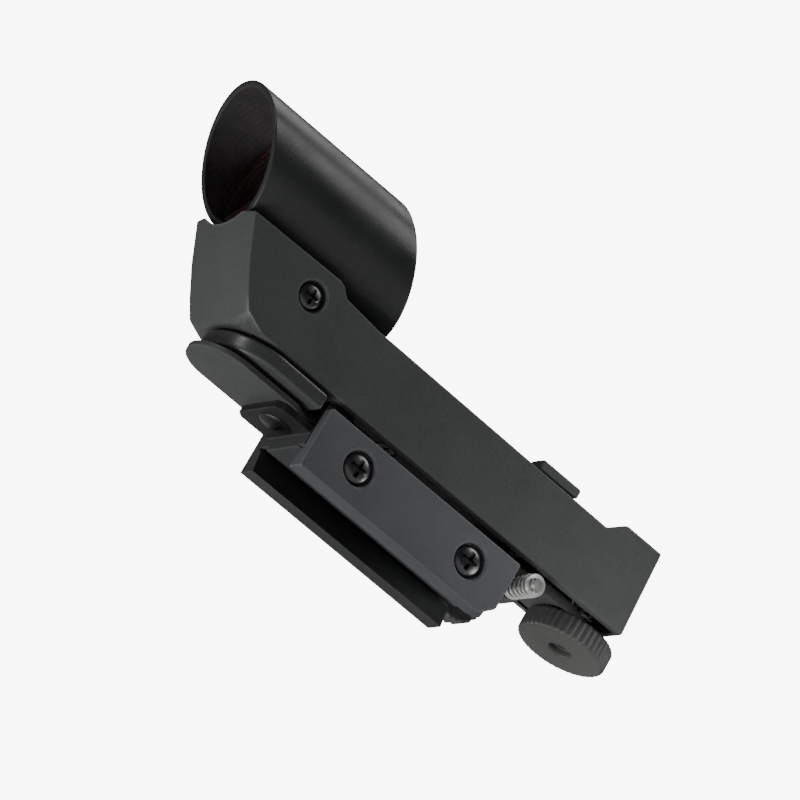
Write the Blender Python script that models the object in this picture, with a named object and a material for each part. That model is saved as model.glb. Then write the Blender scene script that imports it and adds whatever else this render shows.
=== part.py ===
# Reflex (red-dot) finder scope for an amateur telescope, as an assembly of separate pieces.
# Row frame: +X to the rear (the observer's eye), -X to the sky, +Z up, -Y the clamp-screw side.
# The design frame has x = 0, z = 0 at the centre of the sight tube's front rim; DATUM moves it
# so that the whole object stands on z = 0 with its box centred. Numbers in the design are mm.
import math
import bmesh
import bpy

MM = 0.001
GAP = 0.3                 # running clearance between neighbouring pieces

# Sight tube
TUBE_R = 14.5             # outer radius
TUBE_WALL = 1.5
TUBE_LENGTH = 42.0
TUBE_X0 = 1.0             # the tube starts a little behind the body's front corner
RAKE = math.radians(24.5) # both tube ends and the body's nose lean forward at the top

# Bar body
BODY_HALF = 12.0          # half width
BODY_END = 128.2          # rear end
BODY_BOTTOM = -33.0
BAR_TOP = -15.2           # bar's top where it leaves the tube
CHEEK_TOP = -12.4
BLOCK_TOP = -12.5         # raised lamp block at the rear
REAR_WALL = 1.3
ROOF = -17.7              # inside of the bar's top wall
NOSE_BULGE = 1.3          # the front face is slightly convex in plan
CHIN_R = 13.8             # radius of the nose's bottom edge, above the round tray
CHIN_SLOPE = 1.65         # how fast the nose widens upwards from there

# Joint axes
SWIVEL_X = 39.6           # upright pin under the sight tube's rear half
TILT_X = 48.5             # cross pin, in the ears of the arm
TILT_Z = -29.5
ALT_X = 123.1             # altitude screw and wheel
AZ_X = 104.4              # azimuth screw, runs across
AZ_Z = -36.9

# Battery tray
TRAY_X = 29.0             # centre of its round nose and of the cell
TRAY_R = 12.3
TRAY_TOP = -33.7
TRAY_BOTTOM = -37.5
TRAY_END = 41.8
CELL_R = 10.0
CELL_H = 3.2
TRAY_TRAVEL = 17.0
LEG_X = 38.2              # front of the tray's two hooked legs

# Swivel arm
ARM_TOP = -38.0
ARM_BOTTOM = -39.7
ARM_NOSE_TOP = -38.5      # thinner under the battery tray, which dips as the body tilts
ARM_HALF = 5.4
TONGUE_X = 23.4           # centre of the rounded front of the arm
TONGUE_HALF = 9.0
TONGUE_END = 38.0
TAIL_TOP = -32.0
TAIL_BOTTOM = -34.2

# Bracket that grips the telescope's rail
SEAT_TOP = -39.95
FOOT_BOTTOM = -41.4
SLOT_ROOF = -44.6         # underside of the raised pad that sits on the rail
PAD_HALF = 6.4
FAR_RELIEF = 1.0          # the roof rises beside the pad, so that the rail's edges clear
NEAR_RELIEF = 0.4
JAW_TIP_Y = 7.0           # the fixed jaw leans in over the rail's undercut side
JAW_ROOT_Y = 8.6
JAW_LEDGE_Y = 9.4
FEET = -49.9
CLAMP_X0 = 43.8
CLAMP_X1 = 99.5
CLAMP_TOP = -35.2
CLAMP_BACK = -8.6
CLAMP_SCREW_X = (56.0, 88.7)
CLAMP_SCREW_Z = -42.0
FOOT_X = 34.4             # front end of the bracket's foot, which holds the swivel pin
FOOT_NEAR = -8.2
FOOT_FAR = 8.8
TAIL_X = 100.0            # near corner of the tail plate, hidden behind the clamp plate
LUG_X = 107.3             # far corner of the tail plate, under the azimuth lug

# Wheels
ALT_WHEEL_R = 10.3
ALT_WHEEL_TOP = -34.6
ALT_WHEEL_BOTTOM = -39.7
AZ_WHEEL_R = 6.5
AZ_WHEEL_Y0 = 15.6
AZ_WHEEL_Y1 = 20.6

CHEEK_SCREW_X = 27.0
CHEEK_SCREW_Z = -19.0

# The box of the whole object, used only to place its datum
X_LOW = TUBE_X0 - TUBE_R * math.tan(RAKE)
X_HIGH = ALT_X + ALT_WHEEL_R
DATUM = (-(X_LOW + X_HIGH) / 2, -(AZ_WHEEL_Y1 - TUBE_R) / 2, -FEET)

for old in list(bpy.data.objects):
    bpy.data.objects.remove(old, do_unlink=True)

datum = bpy.data.objects.new("datum", None)
datum.location = [c * MM for c in DATUM]
bpy.context.scene.collection.objects.link(datum)

materials = {}


def material(name, colour, roughness, metallic=0.0):
    mat = bpy.data.materials.new(name)
    mat.use_nodes = True
    shader = mat.node_tree.nodes["Principled BSDF"]
    shader.inputs["Base Color"].default_value = (*colour, 1.0)
    shader.inputs["Roughness"].default_value = roughness
    shader.inputs["Metallic"].default_value = metallic
    materials[name] = mat
    return mat


SLOTS = {
    "body_plastic": ((0.045, 0.048, 0.048), 0.55, 0.0),
    "tube_plastic": ((0.02, 0.021, 0.021), 0.45, 0.0),
    "bracket_plastic": ((0.05, 0.052, 0.055), 0.5, 0.0),
    "clamp_paint": ((0.09, 0.094, 0.1), 0.45, 0.0),
    "wheel_plastic": ((0.055, 0.055, 0.053), 0.5, 0.0),
    "steel": ((0.5, 0.5, 0.49), 0.3, 1.0),
    "spring_steel": ((0.62, 0.61, 0.57), 0.25, 1.0),
    "brass": ((0.65, 0.47, 0.2), 0.35, 1.0),
    "coated_glass": ((0.5, 0.12, 0.1), 0.05, 0.0),
    "board": ((0.03, 0.16, 0.07), 0.5, 0.0),
    "black_plastic": ((0.012, 0.012, 0.012), 0.5, 0.0),
    "red_lens": ((0.5, 0.02, 0.02), 0.2, 0.0),
}
for slot_name, (slot_colour, slot_rough, slot_metal) in SLOTS.items():
    material(slot_name, slot_colour, slot_rough, slot_metal)


# ---------------------------------------------------------------- building functions
def solid(name, points, faces, at=(0.0, 0.0, 0.0), smooth=None):
    """An object whose origin is at the point 'at' of the design frame."""
    mesh = bpy.data.meshes.new(name)
    local = [tuple((p[i] - at[i]) * MM for i in range(3)) for p in points]
    mesh.from_pydata(local, [], faces)
    mesh.validate()
    obj = bpy.data.objects.new(name, mesh)
    obj.location = [c * MM for c in at]
    obj.parent = datum
    bpy.context.scene.collection.objects.link(obj)
    if smooth is not None:
        mesh.shade_smooth()
        mesh.set_sharp_from_angle(angle=math.radians(smooth))
    return obj


def turned(axis, radius, angle, height, centre):
    """A point at a radius, angle and height about an axis through 'centre'."""
    a = radius * math.cos(angle)
    b = radius * math.sin(angle)
    if axis == "z":
        return (centre[0] + a, centre[1] + b, height)
    if axis == "y":
        return (centre[0] + b, height, centre[2] + a)
    return (height, centre[1] + a, centre[2] + b)


def stacked(name, rings, closed=False, **extra):
    """Skin a list of equal rings of points; the ends are capped unless the stack closes on itself."""
    count = len(rings[0])
    points = [p for ring in rings for p in ring]
    faces = []
    span = len(rings) if closed else len(rings) - 1
    for r in range(span):
        a = r * count
        b = ((r + 1) % len(rings)) * count
        for i in range(count):
            j = (i + 1) % count
            faces.append((a + i, a + j, b + j, b + i))
    if not closed:
        faces.append(tuple(range(count - 1, -1, -1)))
        last = (len(rings) - 1) * count
        faces.append(tuple(range(last, last + count)))
    obj = solid(name, points, faces, **extra)
    return face_outwards(obj)


def face_outwards(obj):
    work = bmesh.new()
    work.from_mesh(obj.data)
    bmesh.ops.recalc_face_normals(work, faces=work.faces)
    work.to_mesh(obj.data)
    work.free()
    return obj


def lathe(name, profile, axis="z", centre=(0.0, 0.0, 0.0), segments=48, closed=False, smooth=35, **extra):
    """Turn a profile of (radius, height) about an axis; 'closed' makes a ring with a hole."""
    rings = []
    for radius, height in profile:
        ring = []
        for i in range(segments):
            ring.append(turned(axis, radius, 2 * math.pi * i / segments, height, centre))
        rings.append(ring)
    return stacked(name, rings, closed=closed, smooth=smooth, **extra)


def rod(name, axis, centre, radius, low, high, segments=32, chamfer=0.0, **extra):
    if chamfer > 0:
        profile = [(radius - chamfer, low), (radius, low + chamfer)]
        profile += [(radius, high - chamfer), (radius - chamfer, high)]
    else:
        profile = [(radius, low), (radius, high)]
    return lathe(name, profile, axis, centre, segments, **extra)


def collar(name, axis, centre, inner, outer, low, high, segments=32, chamfer=0.2, **extra):
    profile = [(inner, low), (outer - chamfer, low), (outer, low + chamfer)]
    profile += [(outer, high - chamfer), (outer - chamfer, high), (inner, high)]
    return lathe(name, profile, axis, centre, segments, closed=True, **extra)


def box(name, x0, x1, y0, y1, z0, z1, **extra):
    rings = []
    for z in (z0, z1):
        rings.append([(x0, y0, z), (x1, y0, z), (x1, y1, z), (x0, y1, z)])
    return stacked(name, rings, **extra)


def plate(name, outline, z0, z1, **extra):
    """A plan outline of (x, y) points, extruded upwards."""
    rings = [[(x, y, z) for x, y in outline] for z in (z0, z1)]
    return stacked(name, rings, **extra)


def slab(name, outline, y0, y1, **extra):
    """A side outline of (x, z) points, extruded across."""
    rings = [[(x, y, z) for x, z in outline] for y in (y0, y1)]
    return stacked(name, rings, **extra)


def arc(cx, cy, radius, start, end, steps):
    """Points of an arc, angles in degrees."""
    points = []
    for i in range(steps + 1):
        a = math.radians(start + (end - start) * i / steps)
        points.append((cx + radius * math.cos(a), cy + radius * math.sin(a)))
    return points


def coil(name, axis, centre, radius, wire, low, high, turns, around=12, sides=6, **extra):
    """A compression spring with closed ends, its wire lying inside low..high."""
    rings = []
    steps = int(turns * around)
    bottom = low + wire
    top = high - wire
    for s in range(steps + 1):
        t = s / steps
        turn = 2 * math.pi * turns * t
        height = bottom + (top - bottom) * t
        ring = []
        for k in range(sides):
            a = 2 * math.pi * k / sides
            ring.append(turned(axis, radius + wire * math.cos(a), turn, height + wire * math.sin(a), centre))
        rings.append(ring)
    return stacked(name, rings, smooth=60, **extra)


def ribbed_rim(name, axis, centre, radius, depth, low, high, ribs, chamfer, **extra):
    """A wheel blank whose rim carries straight finger ribs."""
    def outline(shrink):
        ring = []
        for i in range(ribs):
            for part, drop in ((0.0, 0.0), (0.32, 0.0), (0.5, depth), (0.82, depth)):
                angle = 2 * math.pi * (i + part) / ribs
                ring.append((radius - drop - shrink, angle))
        return ring
    rings = []
    for height, shrink in ((low, chamfer), (low + chamfer, 0.0), (high - chamfer, 0.0), (high, chamfer)):
        rings.append([turned(axis, r, a, height, centre) for r, a in outline(shrink)])
    return stacked(name, rings, smooth=30, **extra)


def bevel(obj, width, segments=2, angle=40):
    mod = obj.modifiers.new("edges", "BEVEL")
    mod.width = width * MM
    mod.segments = segments
    mod.limit_method = "ANGLE"
    mod.angle_limit = math.radians(angle)
    return obj


def combine(obj, tool, operation):
    mod = obj.modifiers.new(tool.name, "BOOLEAN")
    mod.operation = operation
    mod.object = tool
    mod.solver = "EXACT"
    tool.hide_render = True
    tool.display_type = "WIRE"
    return obj


def cut(obj, *tools):
    for tool in tools:
        combine(obj, tool, "DIFFERENCE")
    return obj


def join(obj, *tools):
    for tool in tools:
        combine(obj, tool, "UNION")
    return obj


def dress(obj, slot):
    obj.data.materials.clear()
    obj.data.materials.append(materials[slot])
    return obj


def cross_recess(name, centre, side, surface, reach, width, depth):
    """Two crossed bars that cut the driver recess into a screw head facing along Y."""
    x, z = centre
    y0 = surface - side * depth
    y1 = surface + side * 1.0
    low = min(y0, y1)
    high = max(y0, y1)
    flat = box(name + "_flat", x - reach, x + reach, low, high, z - width, z + width)
    upright = box(name + "_upright", x - width, x + width, low, high, z - reach, z + reach)
    return flat, upright


# ---------------------------------------------------------------- sight tube
def slanted_ring(radius, x_base, segments=64):
    ring = []
    for i in range(segments):
        a = 2 * math.pi * i / segments
        z = radius * math.sin(a)
        ring.append((TUBE_X0 + x_base - z * math.tan(RAKE), radius * math.cos(a), z))
    return ring


inner_r = TUBE_R - TUBE_WALL
tube_rings = []
for ring_r, ring_x in (
    (TUBE_R - 0.35, 0.0), (TUBE_R, 0.4), (TUBE_R, TUBE_LENGTH - 1.0),
    (TUBE_R - 0.3, TUBE_LENGTH - 0.3), (TUBE_R - 0.8, TUBE_LENGTH),
    (inner_r, TUBE_LENGTH), (inner_r, 0.3), (inner_r + 0.3, 0.0),
):
    tube_rings.append(slanted_ring(ring_r, ring_x))
sight_tube = stacked("sight_tube", tube_rings, closed=True, smooth=35)
foot = box("tube_foot_blank", 19.0, 35.0, -5.0, 5.0, -25.0, -TUBE_R + 1.2)
join(sight_tube, foot)
for side in (-1, 1):
    hole = rod("tube_foot_bore", "y", (CHEEK_SCREW_X, 0.0, CHEEK_SCREW_Z), 1.5, side * 2.0, side * 6.0)
    cut(sight_tube, hole)
dress(sight_tube, "tube_plastic")

# Coated window, tilted so that it sends the lamp's dot back to the eye, and its ring
WINDOW_X = 9.0
WINDOW_R = 12.6
WINDOW_TILT = math.radians(5.0)
window = lathe(
    "reflex_window",
    [(WINDOW_R - 0.3, -0.8), (WINDOW_R, -0.5), (WINDOW_R, 0.5), (WINDOW_R - 0.3, 0.8)],
    "x", segments=48, smooth=35,
)
window.location = (WINDOW_X * MM, 0.0, 0.0)
window.rotation_euler = (0.0, WINDOW_TILT, 0.0)
dress(window, "coated_glass")
ring_outer = inner_r - GAP / 2
window_ring = lathe(
    "window_ring",
    [(11.4, 1.1), (ring_outer - 0.25, 1.1), (ring_outer - 0.05, 1.35), (ring_outer - 0.05, 2.5), (11.8, 2.5)],
    "x", segments=48, closed=True, smooth=35,
)
window_ring.location = (WINDOW_X * MM, 0.0, 0.0)
window_ring.rotation_euler = (0.0, WINDOW_TILT, 0.0)
dress(window_ring, "black_plastic")

# ---------------------------------------------------------------- bar body
nose = [(5.9, CHEEK_TOP), (9.9, -20.9), (13.5, -27.1), (16.4, -31.4), (17.8, BODY_BOTTOM)]
top_line = [
    (BODY_END, BODY_BOTTOM), (BODY_END - 1.2, BLOCK_TOP), (116.6, BLOCK_TOP), (112.6, BAR_TOP - 0.7),
    (44.0, BAR_TOP), (34.0, -14.3), (33.1, -13.4), (32.2, -12.5), (30.8, -12.0),
]
side_outline = nose + top_line


def body_slice(y):
    """The body's side outline, its nose pushed forward towards the middle."""
    bulge = NOSE_BULGE * (1.0 - (y / BODY_HALF) ** 2)
    points = []
    for x, z in side_outline:
        near_nose = 1.0 if x < 20.0 else 0.0
        points.append((x - bulge * near_nose, y, z))
    return points


slices = [body_slice(BODY_HALF * t) for t in (-1.0, -0.75, -0.4, 0.0, 0.4, 0.75, 1.0)]
body_shell = stacked("body_shell", slices, smooth=25)
bevel(body_shell, 0.7, 2, 30)

cradle = rod("cradle_cut", "x", (0.0, 0.0, 0.0), TUBE_R + GAP, -20.0, 62.0, segments=64)
cut(body_shell, cradle)
cut(body_shell, box("foot_pocket_cut", 18.6, 35.4, -5.4, 5.4, -25.5, -10.0))
cut(body_shell, box("contact_channel_cut", 21.0, 46.0, -5.4, 5.4, -34.0, -27.6))
cut(body_shell, box("ear_bay_cut", 44.2, 53.0, -6.9, 6.9, -34.0, ROOF))
cut(body_shell, box("cover_ledge_cut", 44.2, 53.0, -10.0, 10.0, -34.0, -31.2))
cut(body_shell, box("main_bay_cut", 52.9, 117.4, -10.0, 10.0, -34.0, ROOF))
cut(body_shell, box("tail_bay_cut", 117.3, BODY_END - REAR_WALL, -10.0, 10.0, -34.0, -22.6))
cut(body_shell, box("lamp_bay_cut", 115.6, 119.6, -3.4, 3.4, -18.5, -13.6))

# The nose's corners are cut away in a cone that runs down to the tray's round front
chin_rings = []
for step in range(37):
    angle = math.radians(90 + 180 * step / 36)
    section = [(CHIN_R - CHIN_SLOPE * 1.5, BODY_BOTTOM - 1.5), (26.0, BODY_BOTTOM - 1.5)]
    section += [(26.0, BODY_BOTTOM + 5.5), (CHIN_R + CHIN_SLOPE * 5.5, BODY_BOTTOM + 5.5)]
    chin_rings.append([turned("z", r, angle, z, (TRAY_X, 0.0, 0.0)) for r, z in section])
cut(body_shell, stacked("chin_cut", chin_rings))

# Hidden rails of the battery tray, one pair on each side of the contact channel
rail_x = LEG_X - TRAY_TRAVEL - GAP
for side in (-1, 1):
    leg = sorted((side * 7.2, side * 9.1))
    lip = sorted((side * 7.2, side * 10.2))
    cut(body_shell, box("tray_leg_cut", rail_x, TRAY_END + 0.5, leg[0], leg[1], -34.0, -31.4))
    cut(body_shell, box("tray_lip_cut", rail_x, TRAY_END + 0.5, lip[0], lip[1], -31.5, -30.0))

# Open seats that the cross pin snaps up into
for side in (-1, 1):
    seat = sorted((side * 6.5, side * 9.7))
    cut(body_shell, box("pin_slot_cut", TILT_X - 1.8, TILT_X + 1.8, seat[0], seat[1], -34.0, TILT_Z))
    pin_seat = rod("pin_seat_cut", "y", (TILT_X, 0.0, TILT_Z), 1.8, seat[0], seat[1])
    cut(body_shell, pin_seat)

# Recessed cheek screws
for side in (-1, 1):
    outer = sorted((side * (BODY_HALF - 1.9), side * (BODY_HALF + 1.0)))
    inner = sorted((side * 5.0, side * (BODY_HALF - 1.5)))
    axis_at = (CHEEK_SCREW_X, 0.0, CHEEK_SCREW_Z)
    cut(body_shell, rod("cheek_recess_cut", "y", axis_at, 3.4, outer[0], outer[1]))
    cut(body_shell, rod("cheek_bore_cut", "y", axis_at, 1.6, inner[0], inner[1]))

# Lamp bore in the ramp, aimed at the window
LAMP_X = 114.8
LAMP_Z = -14.3
LAMP_ANGLE = math.atan2(-LAMP_Z, LAMP_X - WINDOW_X)
lamp_bore = rod("lamp_bore_cut", "x", (0.0, 0.0, 0.0), 1.9, -6.0, 3.0, segments=24)
lamp_bore.location = (LAMP_X * MM, 0.0, LAMP_Z * MM)
lamp_bore.rotation_euler = (0.0, LAMP_ANGLE, 0.0)
cut(body_shell, lamp_bore)

# Slot of the power slide
SWITCH_X0 = 92.0
SWITCH_X1 = 103.4
SWITCH_Y0 = -11.4
SWITCH_Y1 = -6.4
switch_mid = (SWITCH_X0 + SWITCH_X1) / 2
cut(body_shell, box("switch_slot_cut", switch_mid - 5.2, switch_mid + 5.2, -9.7, -7.9, ROOF - 0.5, -14.0))

# Pillars for the board screws and pads for the cover screws
BOARD_SCREWS = ((72.0, 4.0), (109.0, 4.0))
COVER_SCREWS = [(x, y) for x in (61.0, 95.0) for y in (-7.4, 7.4)]
for x, y in BOARD_SCREWS:
    pillar = rod("board_pillar", "z", (x, y, 0.0), 2.4, -20.0, ROOF + 1.0, segments=24)
    join(body_shell, pillar)
    cut(body_shell, rod("board_thread_cut", "z", (x, y, 0.0), 1.3, -21.0, ROOF - 0.3, segments=16))
for x, y in COVER_SCREWS:
    edge = sorted((y / 7.4 * 4.9, y / 7.4 * 10.8))
    join(body_shell, box("cover_pad", x - 3.0, x + 3.0, edge[0], edge[1], -31.2, -23.2))
    cut(body_shell, rod("cover_thread_cut", "z", (x, y, 0.0), 1.3, -32.0, -25.5, segments=16))

# Altitude nut pocket and the screw's way through, in the boss under the lamp block
NUT_Z0 = -22.4
NUT_Z1 = -19.2
NUT_HALF = 3.0
cut(body_shell, box("nut_pocket_cut", ALT_X - NUT_HALF - GAP, ALT_X + NUT_HALF + GAP,
                    -NUT_HALF - GAP, NUT_HALF + GAP, -23.5, NUT_Z1 + GAP))
dress(body_shell, "body_plastic")

# ---------------------------------------------------------------- bottom cover of the bar
COVER_TOP = -31.5
bottom_cover = box("bottom_cover", 56.6, 99.6, -9.7, 9.7, BODY_BOTTOM, COVER_TOP)
bevel(bottom_cover, 0.3, 1)
for side in (-1, 1):
    tab = sorted((side * 7.2, side * 9.7))
    join(bottom_cover, box("cover_tab", 44.6, 58.0, tab[0], tab[1], BODY_BOTTOM, COVER_TOP))
for x, y in COVER_SCREWS:
    sink = lathe("cover_sink_cut", [(2.6, -34.0), (2.6, -32.6), (1.5, -31.9), (1.5, -30.0)],
                 "z", (x, y, 0.0), 24)
    cut(bottom_cover, sink)
dress(bottom_cover, "black_plastic")


def small_screw(name, x, y, head_low, head_high, head_r, shank_r, tip, flare=False):
    """A screw driven upwards: its head at the bottom, its tip at the top."""
    rim = head_r - 0.2
    if flare:
        profile = [(rim, head_low), (head_r, head_low + 0.2), (shank_r, head_high), (shank_r, tip - 0.4)]
    else:
        profile = [(rim, head_low), (head_r, head_low + 0.2), (head_r, head_high), (shank_r, head_high)]
        profile += [(shank_r, tip - 0.4)]
    profile += [(shank_r * 0.5, tip)]
    screw = lathe(name, profile, "z", (x, y, 0.0), 20)
    for turn in (0, 1):
        long_half = 1.1
        thin_half = 0.25
        dx = long_half if turn == 0 else thin_half
        dy = thin_half if turn == 0 else long_half
        cut(screw, box(name + "_recess", x - dx, x + dx, y - dy, y + dy, head_low - 1.0, head_low + 0.6))
    return screw


for number, (x, y) in enumerate(COVER_SCREWS):
    screw = small_screw(f"cover_screw_{number + 1}", x, y, -32.9, -31.95, 2.2, 1.0, -26.2, flare=True)
    dress(screw, "steel")

# ---------------------------------------------------------------- cheek screws
def cheek_screw(name, side):
    head_out = side * (BODY_HALF - 0.4)
    head_in = side * (BODY_HALF - 1.7)
    tip = side * 2.5
    profile = [(2.7, head_out), (3.0, head_out - side * 0.3), (3.0, head_in), (1.2, head_in)]
    profile += [(1.2, tip + side * 0.4), (0.6, tip)]
    screw = lathe(name, profile, "y", (CHEEK_SCREW_X, 0.0, CHEEK_SCREW_Z), 28)
    face_outwards(screw)
    cut(screw, *cross_recess(name, (CHEEK_SCREW_X, CHEEK_SCREW_Z), side, head_out, 1.8, 0.4, 0.9))
    return screw


dress(cheek_screw("cheek_screw_left", -1), "steel")
dress(cheek_screw("cheek_screw_right", 1), "steel")

# ---------------------------------------------------------------- lamp
led_holder = box("led_holder", 116.0, 119.2, -3.0, 3.0, -18.3, -14.0)
bevel(led_holder, 0.25, 1)
holder_bore = rod("holder_bore_cut", "x", (0.0, 0.0, 0.0), 1.8, -4.0, 8.0, segments=24)
holder_bore.location = (LAMP_X * MM, 0.0, (LAMP_Z - 0.4) * MM)
holder_bore.rotation_euler = (0.0, LAMP_ANGLE, 0.0)
cut(led_holder, holder_bore)
dress(led_holder, "black_plastic")

led_lamp = lathe(
    "led_lamp",
    [(0.5, -0.6), (1.1, -0.3), (1.45, 0.5), (1.5, 1.2), (1.5, 4.2)],
    "x", segments=24, smooth=50,
)
led_lamp.location = (LAMP_X * MM, 0.0, (LAMP_Z - 0.4) * MM)
led_lamp.rotation_euler = (0.0, LAMP_ANGLE, 0.0)
dress(led_lamp, "red_lens")

# ---------------------------------------------------------------- circuit board and switch
circuit_board = box("circuit_board", 55.4, 113.5, -9.3, 9.3, -21.7, -20.3)
for x, y in BOARD_SCREWS:
    cut(circuit_board, rod("board_hole_cut", "z", (x, y, 0.0), 1.4, -23.0, -19.0, segments=16))
dress(circuit_board, "board")
for number, (x, y) in enumerate(BOARD_SCREWS):
    dress(small_screw(f"board_screw_{number + 1}", x, y, -23.1, -21.9, 2.1, 1.0, -18.3), "steel")

switch_block = box("switch_block", switch_mid - 6.5, switch_mid + 6.5, -9.8, -4.6, -20.2, -18.0)
cut(switch_block, box("switch_way_cut", switch_mid - 5.0, switch_mid + 5.0, -9.6, -8.0, -19.4, -17.0))
dress(switch_block, "black_plastic")

cap_low = BAR_TOP - 0.35
power_slide = box("power_slide", SWITCH_X0, SWITCH_X1, SWITCH_Y0, SWITCH_Y1, cap_low + 0.3, cap_low + 2.6,
                  at=(switch_mid, -8.8, cap_low))
bevel(power_slide, 0.45, 2)
stem = box("slide_stem", switch_mid - 1.6, switch_mid + 1.6, -9.3, -8.3, -19.1, cap_low + 1.0)
join(power_slide, stem)
for number in range(5):
    groove_x = switch_mid + (number - 2) * 1.5
    cut(power_slide, box("slide_groove_cut", groove_x - 0.3, groove_x + 0.3, SWITCH_Y0 + 0.8, SWITCH_Y1 - 0.8,
                         cap_low + 2.15, cap_low + 3.5))
dress(power_slide, "body_plastic")

# ---------------------------------------------------------------- battery tray, cell and contacts
tray_at = (TRAY_X, 0.0, TRAY_TOP)
tray_outline = arc(TRAY_X, 0.0, TRAY_R, 90, 270, 24)
tray_outline += [(TRAY_END, -TRAY_R + 0.4), (TRAY_END, TRAY_R - 0.4)]
battery_tray = plate("battery_tray", tray_outline, TRAY_BOTTOM, TRAY_TOP, at=tray_at, smooth=30)
bevel(battery_tray, 0.5, 2, 50)
cell_floor = TRAY_TOP + 0.15 - CELL_H
cut(battery_tray, rod("cell_pocket_cut", "z", tray_at, CELL_R + GAP, cell_floor - GAP, -30.0, segments=48))
cut(battery_tray, box("contact_slot_cut", 37.0, TRAY_END + 1.0, 0.9, 3.9, -35.6, -32.0))
for side in (-1, 1):
    leg = sorted((side * 7.6, side * 8.8))
    lip = sorted((side * 7.6, side * 9.9))
    join(battery_tray, box("tray_leg", LEG_X, TRAY_END, leg[0], leg[1], TRAY_TOP - 0.8, -30.8))
    join(battery_tray, box("tray_lip", LEG_X, TRAY_END, lip[0], lip[1], -31.1, -30.3))
dress(battery_tray, "body_plastic")

coin_cell = lathe(
    "coin_cell",
    [(9.1, cell_floor), (9.3, cell_floor + 0.3), (9.7, cell_floor + 0.3), (CELL_R, cell_floor + 0.6),
     (CELL_R, cell_floor + CELL_H - 0.25), (CELL_R - 0.25, cell_floor + CELL_H)],
    "z", (TRAY_X, 0.0, 0.0), 48, at=(TRAY_X, 0.0, cell_floor),
)
dress(coin_cell, "steel")


def contact_strip(name, x_front, y_mid, hook_z):
    """A bent strip: along under the body, then up to the board."""
    low = -32.9
    high = -32.5
    half = 0.9
    outline = [(x_front, hook_z), (x_front + 0.4, hook_z), (x_front + 0.4, low), (56.0, low)]
    outline += [(56.0, -22.1), (55.6, -22.1), (55.6, high), (x_front, high)]
    return slab(name, outline, y_mid - half, y_mid + half)


contact_minus = contact_strip("contact_minus", 25.0, -1.6, -33.1)
contact_plus = contact_strip("contact_plus", 39.8, 2.4, -34.9)
dress(contact_minus, "brass")
dress(contact_plus, "brass")

# ---------------------------------------------------------------- swivel arm
swivel_at = (SWIVEL_X, 0.0, ARM_BOTTOM)
arm_outline = arc(TONGUE_X, 0.0, TONGUE_HALF, 90, 270, 28)
arm_edge = [(TONGUE_END, TONGUE_HALF), (TONGUE_END + 4.0, 6.4), (53.0, 6.4), (58.0, ARM_HALF)]
arm_edge += [(97.0, ARM_HALF), (99.6, 3.2), (AZ_X, 3.2)]
arm_outline += [(x, -y) for x, y in arm_edge] + list(reversed(arm_edge))
swivel_arm = plate("swivel_arm", arm_outline, ARM_BOTTOM, ARM_TOP, at=swivel_at, smooth=30)
cut(swivel_arm, box("arm_nose_cut", 8.0, 43.0, -15.0, 15.0, ARM_NOSE_TOP, -30.0))
for side in (-1, 1):
    ear = [(TILT_X - 3.4, ARM_TOP - 0.8), (TILT_X + 3.4, ARM_TOP - 0.8)]
    ear += arc(TILT_X, TILT_Z, 3.2, 0, 180, 14)
    span = sorted((side * 3.9, side * 6.4))
    join(swivel_arm, slab("arm_ear", ear, span[0], span[1], smooth=30))
lug = [(AZ_X - 3.2, ARM_TOP - 1.2), (AZ_X + 0.6, ARM_TOP - 1.7), (AZ_X + 2.6, ARM_TOP - 0.8)]
lug += [(AZ_X + 3.3, AZ_Z), (AZ_X + 3.3, TAIL_TOP), (AZ_X - 3.2, TAIL_TOP)]
join(swivel_arm, slab("arm_lug", lug, -3.2, 3.2))
tail_outline = [(102.0, 3.2), (102.0, -3.2), (108.0, -3.2), (110.6, -5.8), (118.0, -5.8)]
tail_outline += arc(ALT_X, 0.0, 3.1, -60, 60, 10)
tail_outline += [(118.0, 5.8), (110.6, 5.8), (108.0, 3.2)]
join(swivel_arm, plate("arm_tail", tail_outline, TAIL_BOTTOM, TAIL_TOP, smooth=30))
cut(swivel_arm, rod("swivel_bore_cut", "z", swivel_at, 2.4, -45.0, -30.0))
cut(swivel_arm, rod("swivel_seat_cut", "z", swivel_at, 4.6, ARM_NOSE_TOP - 0.5, -30.0))
cut(swivel_arm, rod("ear_bore_cut", "y", (TILT_X, 0.0, TILT_Z), 1.8, -9.0, 9.0, segments=24))
cut(swivel_arm, rod("nut_bore_cut", "y", (AZ_X, 0.0, AZ_Z), 2.4, -5.0, 5.0, segments=24))
cut(swivel_arm, rod("tail_bore_cut", "z", (ALT_X, 0.0, 0.0), 2.2, -36.0, -30.0, segments=24))
dress(swivel_arm, "bracket_plastic")

hinge_pin = rod("hinge_pin", "y", (TILT_X, 0.0, TILT_Z), 1.5, -9.3, 9.3, segments=24, chamfer=0.3,
                at=(TILT_X, 0.0, TILT_Z))
dress(hinge_pin, "steel")

azimuth_nut = collar("azimuth_nut", "y", (AZ_X, 0.0, AZ_Z), 1.6, 2.15, -3.0, 3.0, segments=24, chamfer=0.1)
dress(azimuth_nut, "brass")

# ---------------------------------------------------------------- altitude screw, wheel, spring, nut
alt_at = (ALT_X, 0.0, ALT_WHEEL_TOP)
altitude_wheel = ribbed_rim("altitude_wheel", "z", alt_at, ALT_WHEEL_R, 0.35, ALT_WHEEL_BOTTOM, ALT_WHEEL_TOP,
                            30, 0.7, at=alt_at)
cut(altitude_wheel, rod("wheel_bore_cut", "z", alt_at, 2.1, -45.0, -30.0, segments=24))
cut(altitude_wheel, rod("wheel_eye_cut", "z", alt_at, 2.6, -45.0, ALT_WHEEL_BOTTOM + 1.6, segments=24))
dress(altitude_wheel, "wheel_plastic")

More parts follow.
